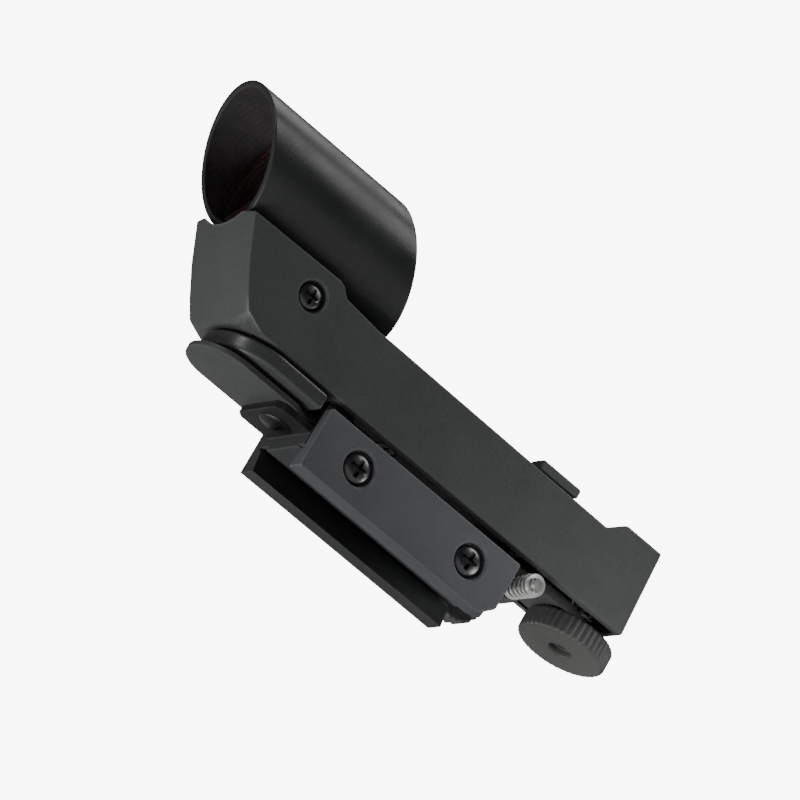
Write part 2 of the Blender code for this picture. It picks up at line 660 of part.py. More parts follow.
altitude_screw = rod("altitude_screw", "z", alt_at, 1.75, ALT_WHEEL_BOTTOM + 1.9, -18.2, segments=24,
                     chamfer=0.4, at=alt_at)
dress(altitude_screw, "steel")

altitude_spring = coil("altitude_spring", "z", (ALT_X, 0.0, 0.0), 2.7, 0.35,
                       TAIL_TOP + 0.15, NUT_Z0 - 0.45, 5.0, at=(ALT_X, 0.0, TAIL_TOP))
dress(altitude_spring, "spring_steel")

altitude_nut = box("altitude_nut", ALT_X - NUT_HALF, ALT_X + NUT_HALF, -NUT_HALF, NUT_HALF, NUT_Z0, NUT_Z1)
bevel(altitude_nut, 0.3, 1)
cut(altitude_nut, rod("nut_thread_cut", "z", alt_at, 2.3, -25.0, -15.0, segments=24))
cut(body_shell, rod("screw_way_cut", "z", alt_at, 2.6, -22.0, -15.8, segments=24))
dress(altitude_nut, "brass")

# ---------------------------------------------------------------- bracket
bracket_base = box("bracket_base", CLAMP_X0, CLAMP_X1, -PAD_HALF, PAD_HALF, SLOT_ROOF, SEAT_TOP)
join(bracket_base, box("near_shelf", CLAMP_X0, CLAMP_X1, CLAMP_BACK + GAP, 0.0,
                       SLOT_ROOF + NEAR_RELIEF, SEAT_TOP))
join(bracket_base, box("far_shelf", CLAMP_X0, CLAMP_X1, 0.0, JAW_LEDGE_Y + 0.4,
                       SLOT_ROOF + FAR_RELIEF, SEAT_TOP))
jaw = [(JAW_TIP_Y, FEET), (BODY_HALF, FEET), (BODY_HALF, SEAT_TOP), (JAW_LEDGE_Y, SEAT_TOP),
       (JAW_LEDGE_Y, SLOT_ROOF), (JAW_ROOT_Y, SLOT_ROOF)]
jaw_rings = [[(x, y, z) for y, z in jaw] for x in (CLAMP_X0, CLAMP_X1)]
join(bracket_base, stacked("fixed_jaw", jaw_rings))
foot_outline = [(FOOT_X, FOOT_FAR - 1.5), (FOOT_X, FOOT_NEAR + 1.5), (FOOT_X + 1.5, FOOT_NEAR)]
foot_outline += [(46.0, FOOT_NEAR), (46.0, FOOT_FAR), (FOOT_X + 1.5, FOOT_FAR)]
join(bracket_base, plate("front_foot", foot_outline, FOOT_BOTTOM, SEAT_TOP))
tail_plate = [(98.0, CLAMP_BACK + GAP), (TAIL_X, CLAMP_BACK + GAP), (LUG_X, 9.0), (LUG_X, 11.6), (98.0, 11.6)]
join(bracket_base, plate("tail_plate", tail_plate, -41.7, SEAT_TOP))
join(bracket_base, box("azimuth_lug", AZ_X - 3.1, AZ_X + 2.9, 9.0, 11.6, -41.2, -34.5))
cut(bracket_base, rod("azimuth_bore_cut", "y", (AZ_X, 0.0, AZ_Z), 1.6, 7.0, 14.0, segments=24))
for x in CLAMP_SCREW_X:
    cut(bracket_base, rod("clamp_thread_cut", "y", (x, 0.0, CLAMP_SCREW_Z), 1.8, -12.0, 1.5, segments=20))
cut(bracket_base, rod("pin_bore_cut", "z", swivel_at, 2.3, -43.0, -38.0, segments=24))
dress(bracket_base, "bracket_plastic")

swivel_pin = lathe(
    "swivel_pin",
    [(3.4, FOOT_BOTTOM - 0.75), (3.8, FOOT_BOTTOM - 0.35), (3.8, FOOT_BOTTOM - GAP / 2),
     (2.0, FOOT_BOTTOM - GAP / 2), (2.0, ARM_NOSE_TOP - 0.3), (1.8, ARM_NOSE_TOP - 0.1)],
    "z", swivel_at, 28, at=swivel_at,
)
dress(swivel_pin, "steel")
swivel_clip = collar("swivel_clip", "z", swivel_at, 2.3, 4.2, ARM_NOSE_TOP - 0.4, ARM_NOSE_TOP - 0.1,
                     segments=28, chamfer=0.1, at=swivel_at)
dress(swivel_clip, "spring_steel")

# ---------------------------------------------------------------- clamp plate and its screws
clamp = [(-BODY_HALF, CLAMP_TOP), (-BODY_HALF, FEET), (-6.9, FEET), (CLAMP_BACK, SLOT_ROOF),
         (CLAMP_BACK, CLAMP_TOP)]
clamp_rings = [[(x, y, z) for y, z in clamp] for x in (CLAMP_X0, CLAMP_X1)]
clamp_at = ((CLAMP_X0 + CLAMP_X1) / 2, CLAMP_BACK, CLAMP_SCREW_Z)
clamp_plate = stacked("clamp_plate", clamp_rings, at=clamp_at)
corner = [(CLAMP_X1 - 4.0, FEET - 0.8), (CLAMP_X1 + 1.0, FEET - 0.8), (CLAMP_X1 + 1.0, FEET + 4.2)]
cut(clamp_plate, slab("clamp_corner_cut", corner, -14.0, -5.0))
bevel(clamp_plate, 0.6, 2)
for x in CLAMP_SCREW_X:
    screw_axis = (x, 0.0, CLAMP_SCREW_Z)
    cut(clamp_plate, rod("clamp_recess_cut", "y", screw_axis, 3.8, -13.0, -10.2, segments=32))
    cut(clamp_plate, rod("clamp_bore_cut", "y", screw_axis, 1.9, -11.0, -6.0, segments=24))
dress(clamp_plate, "clamp_paint")


def clamp_screw(name, x):
    head_out = -BODY_HALF + 0.2
    profile = [(3.1, head_out), (3.45, head_out + 0.35), (3.45, -10.5), (1.55, -10.5)]
    profile += [(1.55, 0.6), (1.0, 1.1)]
    screw = lathe(name, profile, "y", (x, 0.0, CLAMP_SCREW_Z), 32, at=(x, head_out, CLAMP_SCREW_Z))
    cut(screw, *cross_recess(name, (x, CLAMP_SCREW_Z), -1, head_out, 2.2, 0.45, 0.9))
    return dress(screw, "steel")


clamp_screw("clamp_screw_front", CLAMP_SCREW_X[0])
clamp_screw("clamp_screw_rear", CLAMP_SCREW_X[1])

# ---------------------------------------------------------------- azimuth screw, wheel, spring, clip
az_at = (AZ_X, 0.0, AZ_Z)
azimuth_screw = lathe(
    "azimuth_screw",
    [(0.9, -13.6), (1.3, -13.2), (1.3, 12.0), (2.4, 12.0), (2.4, 15.2), (1.3, 15.2), (1.3, 19.2)],
    "y", az_at, 24, at=az_at,
)
dress(azimuth_screw, "steel")
azimuth_wheel = ribbed_rim("azimuth_wheel", "y", az_at, AZ_WHEEL_R, 0.3, AZ_WHEEL_Y0, AZ_WHEEL_Y1, 22, 0.6,
                           at=(AZ_X, AZ_WHEEL_Y0, AZ_Z))
cut(azimuth_wheel, rod("azimuth_wheel_bore_cut", "y", az_at, 1.6, 15.0, 19.5, segments=24))
dress(azimuth_wheel, "wheel_plastic")
azimuth_clip = collar("azimuth_clip", "y", az_at, 1.6, 2.5, -12.5, -11.7, segments=28, chamfer=0.15,
                      at=az_at)
dress(azimuth_clip, "steel")
azimuth_spring = coil("azimuth_spring", "y", az_at, 2.3, 0.33, -11.55, -3.4, 5.0,
                      at=(AZ_X, -11.55, AZ_Z))
dress(azimuth_spring, "spring_steel")
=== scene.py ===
"""The looks of the reflex (red-dot) finder scope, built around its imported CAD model.

Lengths are millimetres in the finder's design frame: x = 0, z = 0 is the centre of the sight
tube's front end, y = 0 the middle plane. +X is the observer's side, -Y the clamp-screw side.
"""
import math
import bmesh
import bpy
from mathutils import Matrix, Vector


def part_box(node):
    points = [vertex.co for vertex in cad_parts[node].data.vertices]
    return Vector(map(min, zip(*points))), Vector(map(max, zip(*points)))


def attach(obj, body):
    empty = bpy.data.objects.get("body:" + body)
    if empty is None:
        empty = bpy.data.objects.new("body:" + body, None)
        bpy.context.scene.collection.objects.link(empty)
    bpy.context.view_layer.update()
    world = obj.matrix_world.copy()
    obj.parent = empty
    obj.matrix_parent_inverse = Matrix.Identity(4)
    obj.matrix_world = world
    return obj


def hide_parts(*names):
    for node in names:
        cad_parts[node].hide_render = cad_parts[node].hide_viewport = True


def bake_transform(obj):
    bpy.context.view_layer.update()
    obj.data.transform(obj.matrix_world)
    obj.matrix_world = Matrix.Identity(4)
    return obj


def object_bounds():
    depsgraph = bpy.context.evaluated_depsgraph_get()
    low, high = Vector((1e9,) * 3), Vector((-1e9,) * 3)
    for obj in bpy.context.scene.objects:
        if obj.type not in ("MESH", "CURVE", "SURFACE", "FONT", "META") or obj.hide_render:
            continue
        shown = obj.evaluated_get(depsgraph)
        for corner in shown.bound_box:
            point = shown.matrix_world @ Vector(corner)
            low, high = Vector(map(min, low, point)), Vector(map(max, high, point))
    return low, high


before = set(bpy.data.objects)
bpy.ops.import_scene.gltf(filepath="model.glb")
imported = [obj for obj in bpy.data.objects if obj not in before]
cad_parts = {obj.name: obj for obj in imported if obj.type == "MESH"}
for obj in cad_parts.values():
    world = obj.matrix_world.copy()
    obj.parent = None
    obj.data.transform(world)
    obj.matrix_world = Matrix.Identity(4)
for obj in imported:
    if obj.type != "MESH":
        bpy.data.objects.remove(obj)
cad_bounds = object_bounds()

MM = 0.001
TUBE_R = 14.5             # outer radius of the sight tube
BODY_END = 128.2          # design x of the body's rear end

# The design frame's origin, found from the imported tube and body
tube_low, tube_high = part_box("sight_tube")
rear_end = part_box("body_shell")[1].x
ORIGIN = Vector((rear_end - BODY_END * MM, (tube_low.y + tube_high.y) / 2, tube_high.z - TUBE_R * MM))


def span(node):
    """A CAD node's lowest and highest corner in design millimetres."""
    low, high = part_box(node)
    return (low - ORIGIN) / MM, (high - ORIGIN) / MM


def middle(node):
    """The centre of a CAD node's box in design millimetres."""
    low, high = span(node)
    return (low + high) / 2


# ------------------------------------------------------------------ mesh building
def make(name, points, faces):
    """An object whose mesh lies in the row frame, from design points."""
    mesh = bpy.data.meshes.new(name)
    mesh.from_pydata([ORIGIN + Vector(p) * MM for p in points], [], faces)
    work = bmesh.new()
    work.from_mesh(mesh)
    bmesh.ops.recalc_face_normals(work, faces=work.faces)
    work.to_mesh(mesh)
    work.free()
    obj = bpy.data.objects.new(name, mesh)
    bpy.context.scene.collection.objects.link(obj)
    return obj


def turned(axis, radius, angle, height, centre):
    """A point at a radius, angle and height about an axis through 'centre'."""
    a = radius * math.cos(angle)
    b = radius * math.sin(angle)
    if axis == "z":
        return (centre[0] + a, centre[1] + b, height)
    if axis == "y":
        return (centre[0] + b, height, centre[2] + a)
    return (height, centre[1] + a, centre[2] + b)


def stacked(name, rings, closed=False):
    """Skin a list of equal rings of points; the ends are capped unless the stack closes on itself."""
    count = len(rings[0])
    points = [p for ring in rings for p in ring]
    faces = []
    layers = len(rings) if closed else len(rings) - 1
    for r in range(layers):
        a = r * count
        b = ((r + 1) % len(rings)) * count
        for i in range(count):
            j = (i + 1) % count
            faces.append((a + i, a + j, b + j, b + i))
    if not closed:
        last = (len(rings) - 1) * count
        faces.append(tuple(range(count - 1, -1, -1)))
        faces.append(tuple(range(last, last + count)))
    return make(name, points, faces)


def lathe(name, profile, axis="z", centre=(0.0, 0.0, 0.0), segments=96, closed=False):
    """Turn a profile of (radius, height) about an axis; 'closed' makes a ring with a hole."""
    rings = []
    for radius, height in profile:
        turn = [2 * math.pi * i / segments for i in range(segments)]
        rings.append([turned(axis, radius, angle, height, centre) for angle in turn])
    return stacked(name, rings, closed)


def rod(name, axis, centre, radius, low, high, segments=64):
    """A plain round bar about an axis."""
    return lathe(name, [(radius, low), (radius, high)], axis, centre, segments)


def block(name, x0, x1, y0, y1, z0, z1):
    """A square-edged box."""
    rings = [[(x0, y0, z), (x1, y0, z), (x1, y1, z), (x0, y1, z)] for z in (z0, z1)]
    return stacked(name, rings)


def across(side, inner, outer):
    """The lower and upper y of a stretch on one side of the middle plane; 'side' is +1 or -1."""
    return sorted((side * inner, side * outer))


def plate(name, outline, z0, z1):
    """A plan outline of (x, y) points, extruded upwards."""
    return stacked(name, [[(x, y, z) for x, y in outline] for z in (z0, z1)])


def slab(name, outline, y0, y1):
    """A side outline of (x, z) points, extruded across."""
    return stacked(name, [[(x, y, z) for x, z in outline] for y in (y0, y1)])


def arc(cx, cy, radius, start, end, steps):
    """Points of an arc, angles in degrees."""
    points = []
    for i in range(steps + 1):
        a = math.radians(start + (end - start) * i / steps)
        points.append((cx + radius * math.cos(a), cy + radius * math.sin(a)))
    return points


def apply_modifiers(obj):
    deps = bpy.context.evaluated_depsgraph_get()
    mesh = bpy.data.meshes.new_from_object(obj.evaluated_get(deps), depsgraph=deps)
    mesh.name = obj.name
    obj.modifiers.clear()
    obj.data = mesh
    return obj


def combine(obj, tools, operation):
    for tool in tools:
        mod = obj.modifiers.new(tool.name, "BOOLEAN")
        mod.operation = operation
        mod.object = tool
        mod.solver = "EXACT"
    apply_modifiers(obj)
    for tool in tools:
        bpy.data.objects.remove(tool, do_unlink=True)
    return obj


def cut(obj, *tools):
    return combine(obj, tools, "DIFFERENCE")


def join(obj, *tools):
    return combine(obj, tools, "UNION")


def round_edges(obj, width, segments=3, angle=35):
    mod = obj.modifiers.new("rounding", "BEVEL")
    mod.width = width * MM
    mod.segments = segments
    mod.limit_method = "ANGLE"
    mod.angle_limit = math.radians(angle)
    mod.miter_outer = "MITER_ARC"
    return apply_modifiers(obj)


def shade(obj, angle=38, weighted=True):
    """Smooth shading with true edges; large flat faces keep their own normals."""
    obj.data.shade_smooth()
    obj.data.set_sharp_from_angle(angle=math.radians(angle))
    if weighted:
        mod = obj.modifiers.new("face_normals", "WEIGHTED_NORMAL")
        mod.keep_sharp = True
        mod.weight = 100
        apply_modifiers(obj)
    return obj


def set_at(obj, x, z, angle):
    """Move a piece that was made round the X axis to its place in the middle plane, and tilt it there."""
    move = Vector((x, 0.0, z)) * MM
    tilt = Matrix.Rotation(angle, 4, "Y")
    obj.data.transform(Matrix.Translation(ORIGIN + move) @ tilt @ Matrix.Translation(-ORIGIN))
    return obj


def coil(name, axis, centre, radius, wire, low, high, turns, dead=0.9, around=40, sides=14):
    """A compression spring whose end turns lie flat; 'dead' is the length of each flat end in turns."""
    rings = []
    steps = int(turns * around)
    bottom = low + wire
    top = high - wire
    closed_rise = 2 * wire * 1.05
    for s in range(steps + 1):
        t = turns * s / steps
        if t < dead:
            height = bottom + closed_rise * t
        elif t > turns - dead:
            height = top - closed_rise * (turns - t)
        else:
            free = (t - dead) / (turns - 2 * dead)
            start = bottom + closed_rise * dead
            height = start + (top - closed_rise * dead - start) * free
        turn = 2 * math.pi * t
        ring = []
        for k in range(sides):
            a = 2 * math.pi * k / sides
            ring.append(turned(axis, radius + wire * math.cos(a), turn, height + wire * math.sin(a), centre))
        rings.append(ring)
    return shade(stacked(name, rings), 60, weighted=False)


def thread(name, axis, centre, radius, depth, pitch, low, high, around=36, per_pitch=6):
    """A threaded rod: its radius follows the helix, and both ends run out to the root."""
    rings = []
    steps = max(2, int((high - low) / pitch * per_pitch))
    for s in range(steps + 1):
        height = low + (high - low) * s / steps
        ends = min(1.0, min(height - low, high - height) / (pitch * 1.5))
        ring = []
        for i in range(around):
            phase = (height / pitch + i / around) % 1.0
            crest = 1.0 - abs(2.0 * phase - 1.0)
            crest = min(1.0, max(0.0, crest * 1.3 - 0.1))
            r = radius - depth * (1.0 - crest * ends)
            ring.append(turned(axis, r, 2 * math.pi * i / around, height, centre))
        rings.append(ring)
    return shade(stacked(name, rings), 50, weighted=False)


def cross_tool(name, centre, axis, surface, out, reach, width, depth):
    """Two crossed tapering blades: the driver recess of a cross-head screw. 'out' is +1 or -1."""
    blades = []
    for turn in (0, 1):
        rings = []
        for level, scale in ((out * 0.6, 1.12), (0.0, 1.0), (-out * depth, 0.5)):
            long_half = reach * scale
            thin_half = width * (0.55 + 0.45 * scale)
            a, b = (long_half, thin_half) if turn == 0 else (thin_half, long_half)
            corners = ((-a, -b), (a, -b), (a, b), (-a, b))
            if axis == "y":
                rings.append([(centre[0] + p, surface + level, centre[2] + q) for p, q in corners])
            else:
                rings.append([(centre[0] + p, centre[1] + q, surface + level) for p, q in corners])
        blades.append(stacked(name + "_blade", rings))
    return blades


def ribbed_wheel(name, axis, centre, radius, depth, low, high, ribs, edge):
    """A thumb wheel with rounded ribs round the rim and smooth chamfers of 'edge' millimetres."""
    steps = ribs * 8
    levels = [(low, edge), (low + edge * 0.35, edge * 0.35), (low + edge, 0.0)]
    levels += [(high - edge, 0.0), (high - edge * 0.35, edge * 0.35), (high, edge)]
    rings = []
    for height, shrink in levels:
        ring = []
        for i in range(steps):
            angle = 2 * math.pi * i / steps
            wave = 0.5 - 0.5 * math.cos(ribs * angle)
            groove = depth * min(1.0, 1.5 * wave) * (1.0 if shrink < edge else 0.4)
            ring.append(turned(axis, radius - groove - shrink, angle, height, centre))
        rings.append(ring)
    return stacked(name, rings)


# ------------------------------------------------------------------ materials
class Graph:
    """A small builder for one material's node tree."""

    def __init__(self, name, roughness, metallic=0.0):
        self.material = bpy.data.materials.new(name)
        self.material.use_nodes = True
        self.tree = self.material.node_tree
        self.shader = self.tree.nodes["Principled BSDF"]
        self.shader.inputs["Roughness"].default_value = roughness
        self.shader.inputs["Metallic"].default_value = metallic
        self.place = self.node("ShaderNodeTexCoord").outputs["Object"]

    def node(self, kind, **inputs):
        made = self.tree.nodes.new(kind)
        for key, value in inputs.items():
            self.feed(made.inputs[key.replace("_", " ")], value)
        return made

    def feed(self, socket, value):
        if isinstance(value, bpy.types.NodeSocket):
            self.tree.links.new(value, socket)
        else:
            socket.default_value = value

    def noise(self, size, detail=2.0, roughness=0.5, stretch=None):
        """Noise whose features are about 'size' millimetres."""
        place = self.place
        if stretch:
            mapping = self.node("ShaderNodeMapping", Vector=place)
            mapping.inputs["Scale"].default_value = stretch
            place = mapping.outputs["Vector"]
        made = self.node("ShaderNodeTexNoise", Vector=place, Scale=1.0 / (size * MM), Detail=detail,
                         Roughness=roughness)
        return made.outputs["Fac"]

    def span(self, value, low, high, to_low, to_high):
        made = self.node("ShaderNodeMapRange", Value=value)
        for key, number in (("From Min", low), ("From Max", high), ("To Min", to_low), ("To Max", to_high)):
            made.inputs[key].default_value = number
        return made.outputs["Result"]

    def times(self, a, b):
        made = self.node("ShaderNodeMath")
        made.operation = "MULTIPLY"
        self.feed(made.inputs[0], a)
        self.feed(made.inputs[1], b)
        return made.outputs["Value"]

    def plus(self, a, b):
        made = self.node("ShaderNodeMath")
        made.operation = "ADD"
        self.feed(made.inputs[0], a)
        self.feed(made.inputs[1], b)
        return made.outputs["Value"]

    def blend(self, factor, a, b):
        made = self.node("ShaderNodeMix")
        made.data_type = "RGBA"
        colour_inputs = [s for s in made.inputs if s.type == "RGBA"]
        self.feed(made.inputs[0], factor)
        self.feed(colour_inputs[0], a)
        self.feed(colour_inputs[1], b)
        return [s for s in made.outputs if s.type == "RGBA"][0]

    def bump(self, height, depth, strength=1.0):
        """Relief 'depth' millimetres deep."""
        made = self.node("ShaderNodeBump", Height=height, Strength=strength, Distance=depth * MM)
        return made.outputs["Normal"]

    def edges(self, radius, breakup):
        """1 along the outer edges within 'radius' millimetres, broken up by noise."""
        rounded = self.node("ShaderNodeBevel", Radius=radius * MM)
        rounded.samples = 4
        flat = self.node("ShaderNodeNewGeometry").outputs["Normal"]
        dot = self.node("ShaderNodeVectorMath")
        dot.operation = "DOT_PRODUCT"
        self.feed(dot.inputs[0], rounded.outputs["Normal"])
        self.feed(dot.inputs[1], flat)
        near = self.span(dot.outputs["Value"], 0.995, 0.9, 0.0, 1.0)
        return self.times(near, breakup)

    def finish(self, colour=None, roughness=None, normal=None, **constants):
        if colour is not None:
            self.feed(self.shader.inputs["Base Color"], colour)
        if roughness is not None:
            self.feed(self.shader.inputs["Roughness"], roughness)
        if normal is not None:
            self.feed(self.shader.inputs["Normal"], normal)
        for key, value in constants.items():
            self.shader.inputs[key.replace("_", " ")].default_value = value
        return self.material


def rgba(colour, gain=1.0):
    return (colour[0] * gain, colour[1] * gain, colour[2] * gain, 1.0)


def moulded(name, colour, roughness, grain=0.45, depth=0.05, edge_wear_and_highlight=0.55, cloud=0.14):
    """Injection-moulded plastic: spark-eroded grain, faint flow clouds, and paler edges that are partly
    polish wear and partly a painted highlight.
    """
    g = Graph(name, roughness)
    clouds = g.noise(22.0, 3.0)
    fine = g.noise(grain, 4.0, 0.65)
    specks = g.noise(grain * 0.4, 1.0)
    thick = g.span(clouds, 0.3, 0.7, 0.0, 1.0)
    clouded = g.blend(thick, rgba(colour, 1.0 - cloud), rgba(colour, 1.0 + cloud))
    speckled = g.blend(g.span(fine, 0.35, 0.75, 0.0, 0.5), clouded, rgba(colour, 1.6))
    # painted highlight: the edges are paled partly for polish wear and partly to stand in for the light that
    # catches them
    paler_edges = g.edges(0.6, g.span(g.noise(2.5, 3.0), 0.35, 0.65, 0.3, edge_wear_and_highlight))
    painted = g.blend(paler_edges, speckled, rgba([c * 1.6 + 0.09 for c in colour]))
    handled = g.span(g.noise(9.0, 2.0), 0.3, 0.7, roughness - 0.06, roughness + 0.07)
    relief = g.bump(g.plus(fine, g.times(specks, 0.4)), depth, 0.55)
    return g.finish(painted, handled, relief, Specular_IOR_Level=0.5)


def painted_bar(name, colour):
    """Satin powder paint on a flat metal bar: orange peel, scuffs, and bare edges in spots."""
    g = Graph(name, 0.42)
    peel = g.noise(1.1, 2.0)
    fine = g.noise(0.35, 3.0, 0.6)
    clouds = g.noise(18.0, 2.0)
    tone = g.blend(g.span(clouds, 0.3, 0.7, 0.0, 1.0), rgba(colour, 0.9), rgba(colour, 1.12))
    tone = g.blend(g.span(fine, 0.4, 0.75, 0.0, 0.4), tone, rgba(colour, 1.5))
    scuffs = g.span(g.noise(3.0, 5.0, 0.7, stretch=(0.25, 1.0, 1.0)), 0.6, 0.72, 0.0, 0.25)
    tone = g.blend(scuffs, tone, rgba(colour, 1.9))
    paler_edges = g.edges(0.4, g.span(g.noise(2.0, 3.0), 0.45, 0.6, 0.1, 0.7))
    tone = g.blend(paler_edges, tone, (0.3, 0.3, 0.31, 1.0))
    rough = g.span(fine, 0.3, 0.7, 0.36, 0.5)
    relief = g.bump(g.plus(g.times(peel, 1.2), fine), 0.035, 0.5)
    return g.finish(tone, rough, relief)


def metal(name, colour, roughness, stain=0.25, metallic=1.0):
    """Plated or drawn metal: fine tool marks, and duller patches where it has been handled."""
    g = Graph(name, roughness, metallic)
    marks = g.noise(0.25, 3.0, 0.6)
    patches = g.noise(3.5, 3.0)
    dull = g.span(patches, 0.35, 0.7, 0.0, stain)
    tone = g.blend(dull, rgba(colour), rgba(colour, 0.55))
    tone = g.blend(g.span(marks, 0.4, 0.7, 0.0, 0.25), tone, rgba(colour, 1.15))
    rough = g.plus(g.span(patches, 0.3, 0.7, roughness - 0.06, roughness + 0.12), g.times(marks, 0.06))
    return g.finish(tone, rough, g.bump(marks, 0.012, 0.5))


def inside_black(name):
    """The flat black lining of the sight tube, with fine turned rings and reddish patches that are a painted
    reflection of the window's red.
    """
    g = Graph(name, 0.7)
    fine = g.noise(0.5, 4.0, 0.7)
    patches = g.noise(4.5, 4.0, 0.65)
    # painted reflection: the reddish patches stand in for the window's red light falling on the lining
    patchy = g.span(patches, 0.42, 0.68, 0.0, 1.0)
    tone = g.blend(patchy, (0.008, 0.007, 0.008, 1.0), (0.022, 0.015, 0.016, 1.0))
    tone = g.blend(g.span(fine, 0.45, 0.75, 0.0, 0.5), tone, (0.040, 0.035, 0.037, 1.0))
    rings = g.node("ShaderNodeTexWave", Vector=g.place, Scale=260.0, Distortion=0.4)
    rings.bands_direction = "X"
    relief = g.bump(g.plus(g.times(rings.outputs["Fac"], 0.6), fine), 0.06, 0.5)
    return g.finish(tone, g.span(fine, 0.3, 0.7, 0.6, 0.8), relief)


def window_glass(name):
    """Clear glass whose thin coating sends red back, more so at a slant; faint dust dulls it in places."""
    g = Graph(name, 0.04, 1.0)
    drift = g.noise(14.0, 1.0)
    dust = g.noise(0.7, 4.0, 0.7)
    tone = g.blend(g.span(drift, 0.3, 0.7, 0.0, 1.0), (0.52, 0.20, 0.17, 1.0), (0.58, 0.27, 0.20, 1.0))
    slant = g.node("ShaderNodeLayerWeight", Blend=0.25).outputs["Facing"]
    g.feed(g.shader.inputs["Alpha"], g.span(slant, 0.0, 1.0, 0.10, 0.55))
    return g.finish(tone, g.span(dust, 0.55, 0.8, 0.03, 0.12), g.bump(dust, 0.004, 0.15))


def lamp_lens(name):
    """The clear red body of a small lamp."""
    g = Graph(name, 0.12)
    swirl = g.noise(1.2, 2.0)
    tone = g.blend(swirl, (0.55, 0.012, 0.012, 1.0), (0.75, 0.04, 0.03, 1.0))
    relief = g.bump(g.noise(0.4, 2.0), 0.01, 0.3)
    return g.finish(tone, g.span(swirl, 0.3, 0.7, 0.08, 0.2), relief, IOR=1.5, Transmission_Weight=0.55)


def solder_mask(name):
    """Green board: weave under the mask, darker copper tracks and small pads."""
    g = Graph(name, 0.4)
    weave = g.node("ShaderNodeTexWave", Vector=g.place, Scale=500.0, Distortion=1.0)
    tracks = g.node("ShaderNodeTexVoronoi", Vector=g.place, Scale=220.0)
    tracks.feature = "DISTANCE_TO_EDGE"
    line = g.span(tracks.outputs["Distance"], 0.03, 0.07, 1.0, 0.0)
    tone = g.blend(weave.outputs["Fac"], (0.018, 0.12, 0.05, 1.0), (0.03, 0.16, 0.07, 1.0))
    tone = g.blend(line, tone, (0.06, 0.24, 0.10, 1.0))
    relief = g.bump(g.plus(line, g.times(weave.outputs["Fac"], 0.3)), 0.03, 0.5)
    return g.finish(tone, g.span(g.noise(6.0), 0.3, 0.7, 0.3, 0.5), relief)


def cell_steel(name):
    """Nickel-plated can of a coin cell: brushed round, with handling marks."""
    g = Graph(name, 0.25, 1.0)
    brushed = g.noise(0.3, 3.0, 0.6, stretch=(0.2, 1.0, 1.0))
    marks = g.noise(5.0, 3.0)
    tone = g.blend(g.span(marks, 0.4, 0.7, 0.0, 0.5), (0.62, 0.61, 0.59, 1.0), (0.42, 0.41, 0.40, 1.0))
    return g.finish(tone, g.span(brushed, 0.3, 0.7, 0.2, 0.38), g.bump(brushed, 0.01, 0.4))


LOOK = {
    "body_plastic": moulded("body_plastic_look", (0.060, 0.064, 0.064), 0.50),
    "tube_plastic": moulded("tube_plastic_look", (0.024, 0.025, 0.026), 0.32, 0.5, 0.045, edge_wear_and_highlight=0.5),
    "tray_plastic": moulded("tray_plastic_look", (0.062, 0.064, 0.064), 0.30),
    "bracket_plastic": moulded("bracket_plastic_look", (0.062, 0.064, 0.066), 0.52, 0.55, 0.06),
    "wheel_plastic": moulded("wheel_plastic_look", (0.070, 0.071, 0.068), 0.48, 0.4, 0.04, edge_wear_and_highlight=0.6),
    "black_plastic": moulded("black_plastic_look", (0.016, 0.016, 0.017), 0.5, 0.5, 0.05),
    "clamp_paint": painted_bar("clamp_paint_look", (0.105, 0.110, 0.118)),
    "steel": metal("steel_look", (0.52, 0.52, 0.51), 0.28),
    "black_steel": metal("black_steel_look", (0.15, 0.15, 0.155), 0.24, stain=0.5),
    "spring_steel": metal("spring_steel_look", (0.86, 0.86, 0.83), 0.22, stain=0.12, metallic=0.6),
    "brass": metal("brass_look", (0.68, 0.48, 0.2), 0.3, stain=0.4),
    "coated_glass": window_glass("coated_glass_look"),
    "red_lens": lamp_lens("red_lens_look"),
    "board": solder_mask("board_look"),
    "cell": cell_steel("cell_look"),
    "tube_lining": inside_black("tube_lining_look"),
}


def dress(obj, look):
    obj.data.materials.clear()
    obj.data.materials.append(LOOK[look])
    return obj


def settle(obj, body, look, *nodes, slot=None):
    """Give a finished piece its look and its body, and hide the CAD nodes that it stands for."""
    dress(obj, look)
    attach(obj, body)
    if nodes:
        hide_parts(*nodes)
    return obj


# ------------------------------------------------------------------ sight tube and window
RAKE = math.radians(24.5)     # both tube ends and the body's nose lean forward at the top
TUBE_X0 = 1.0
TUBE_LENGTH = 42.0
TUBE_WALL = 1.5
INNER_R = TUBE_R - TUBE_WALL


def slanted_ring(radius, x_base, segments=192):
    ring = []
    for i in range(segments):
        a = 2 * math.pi * i / segments
        z = radius * math.sin(a)
        ring.append((TUBE_X0 + x_base - z * math.tan(RAKE), radius * math.cos(a), z))
    return ring


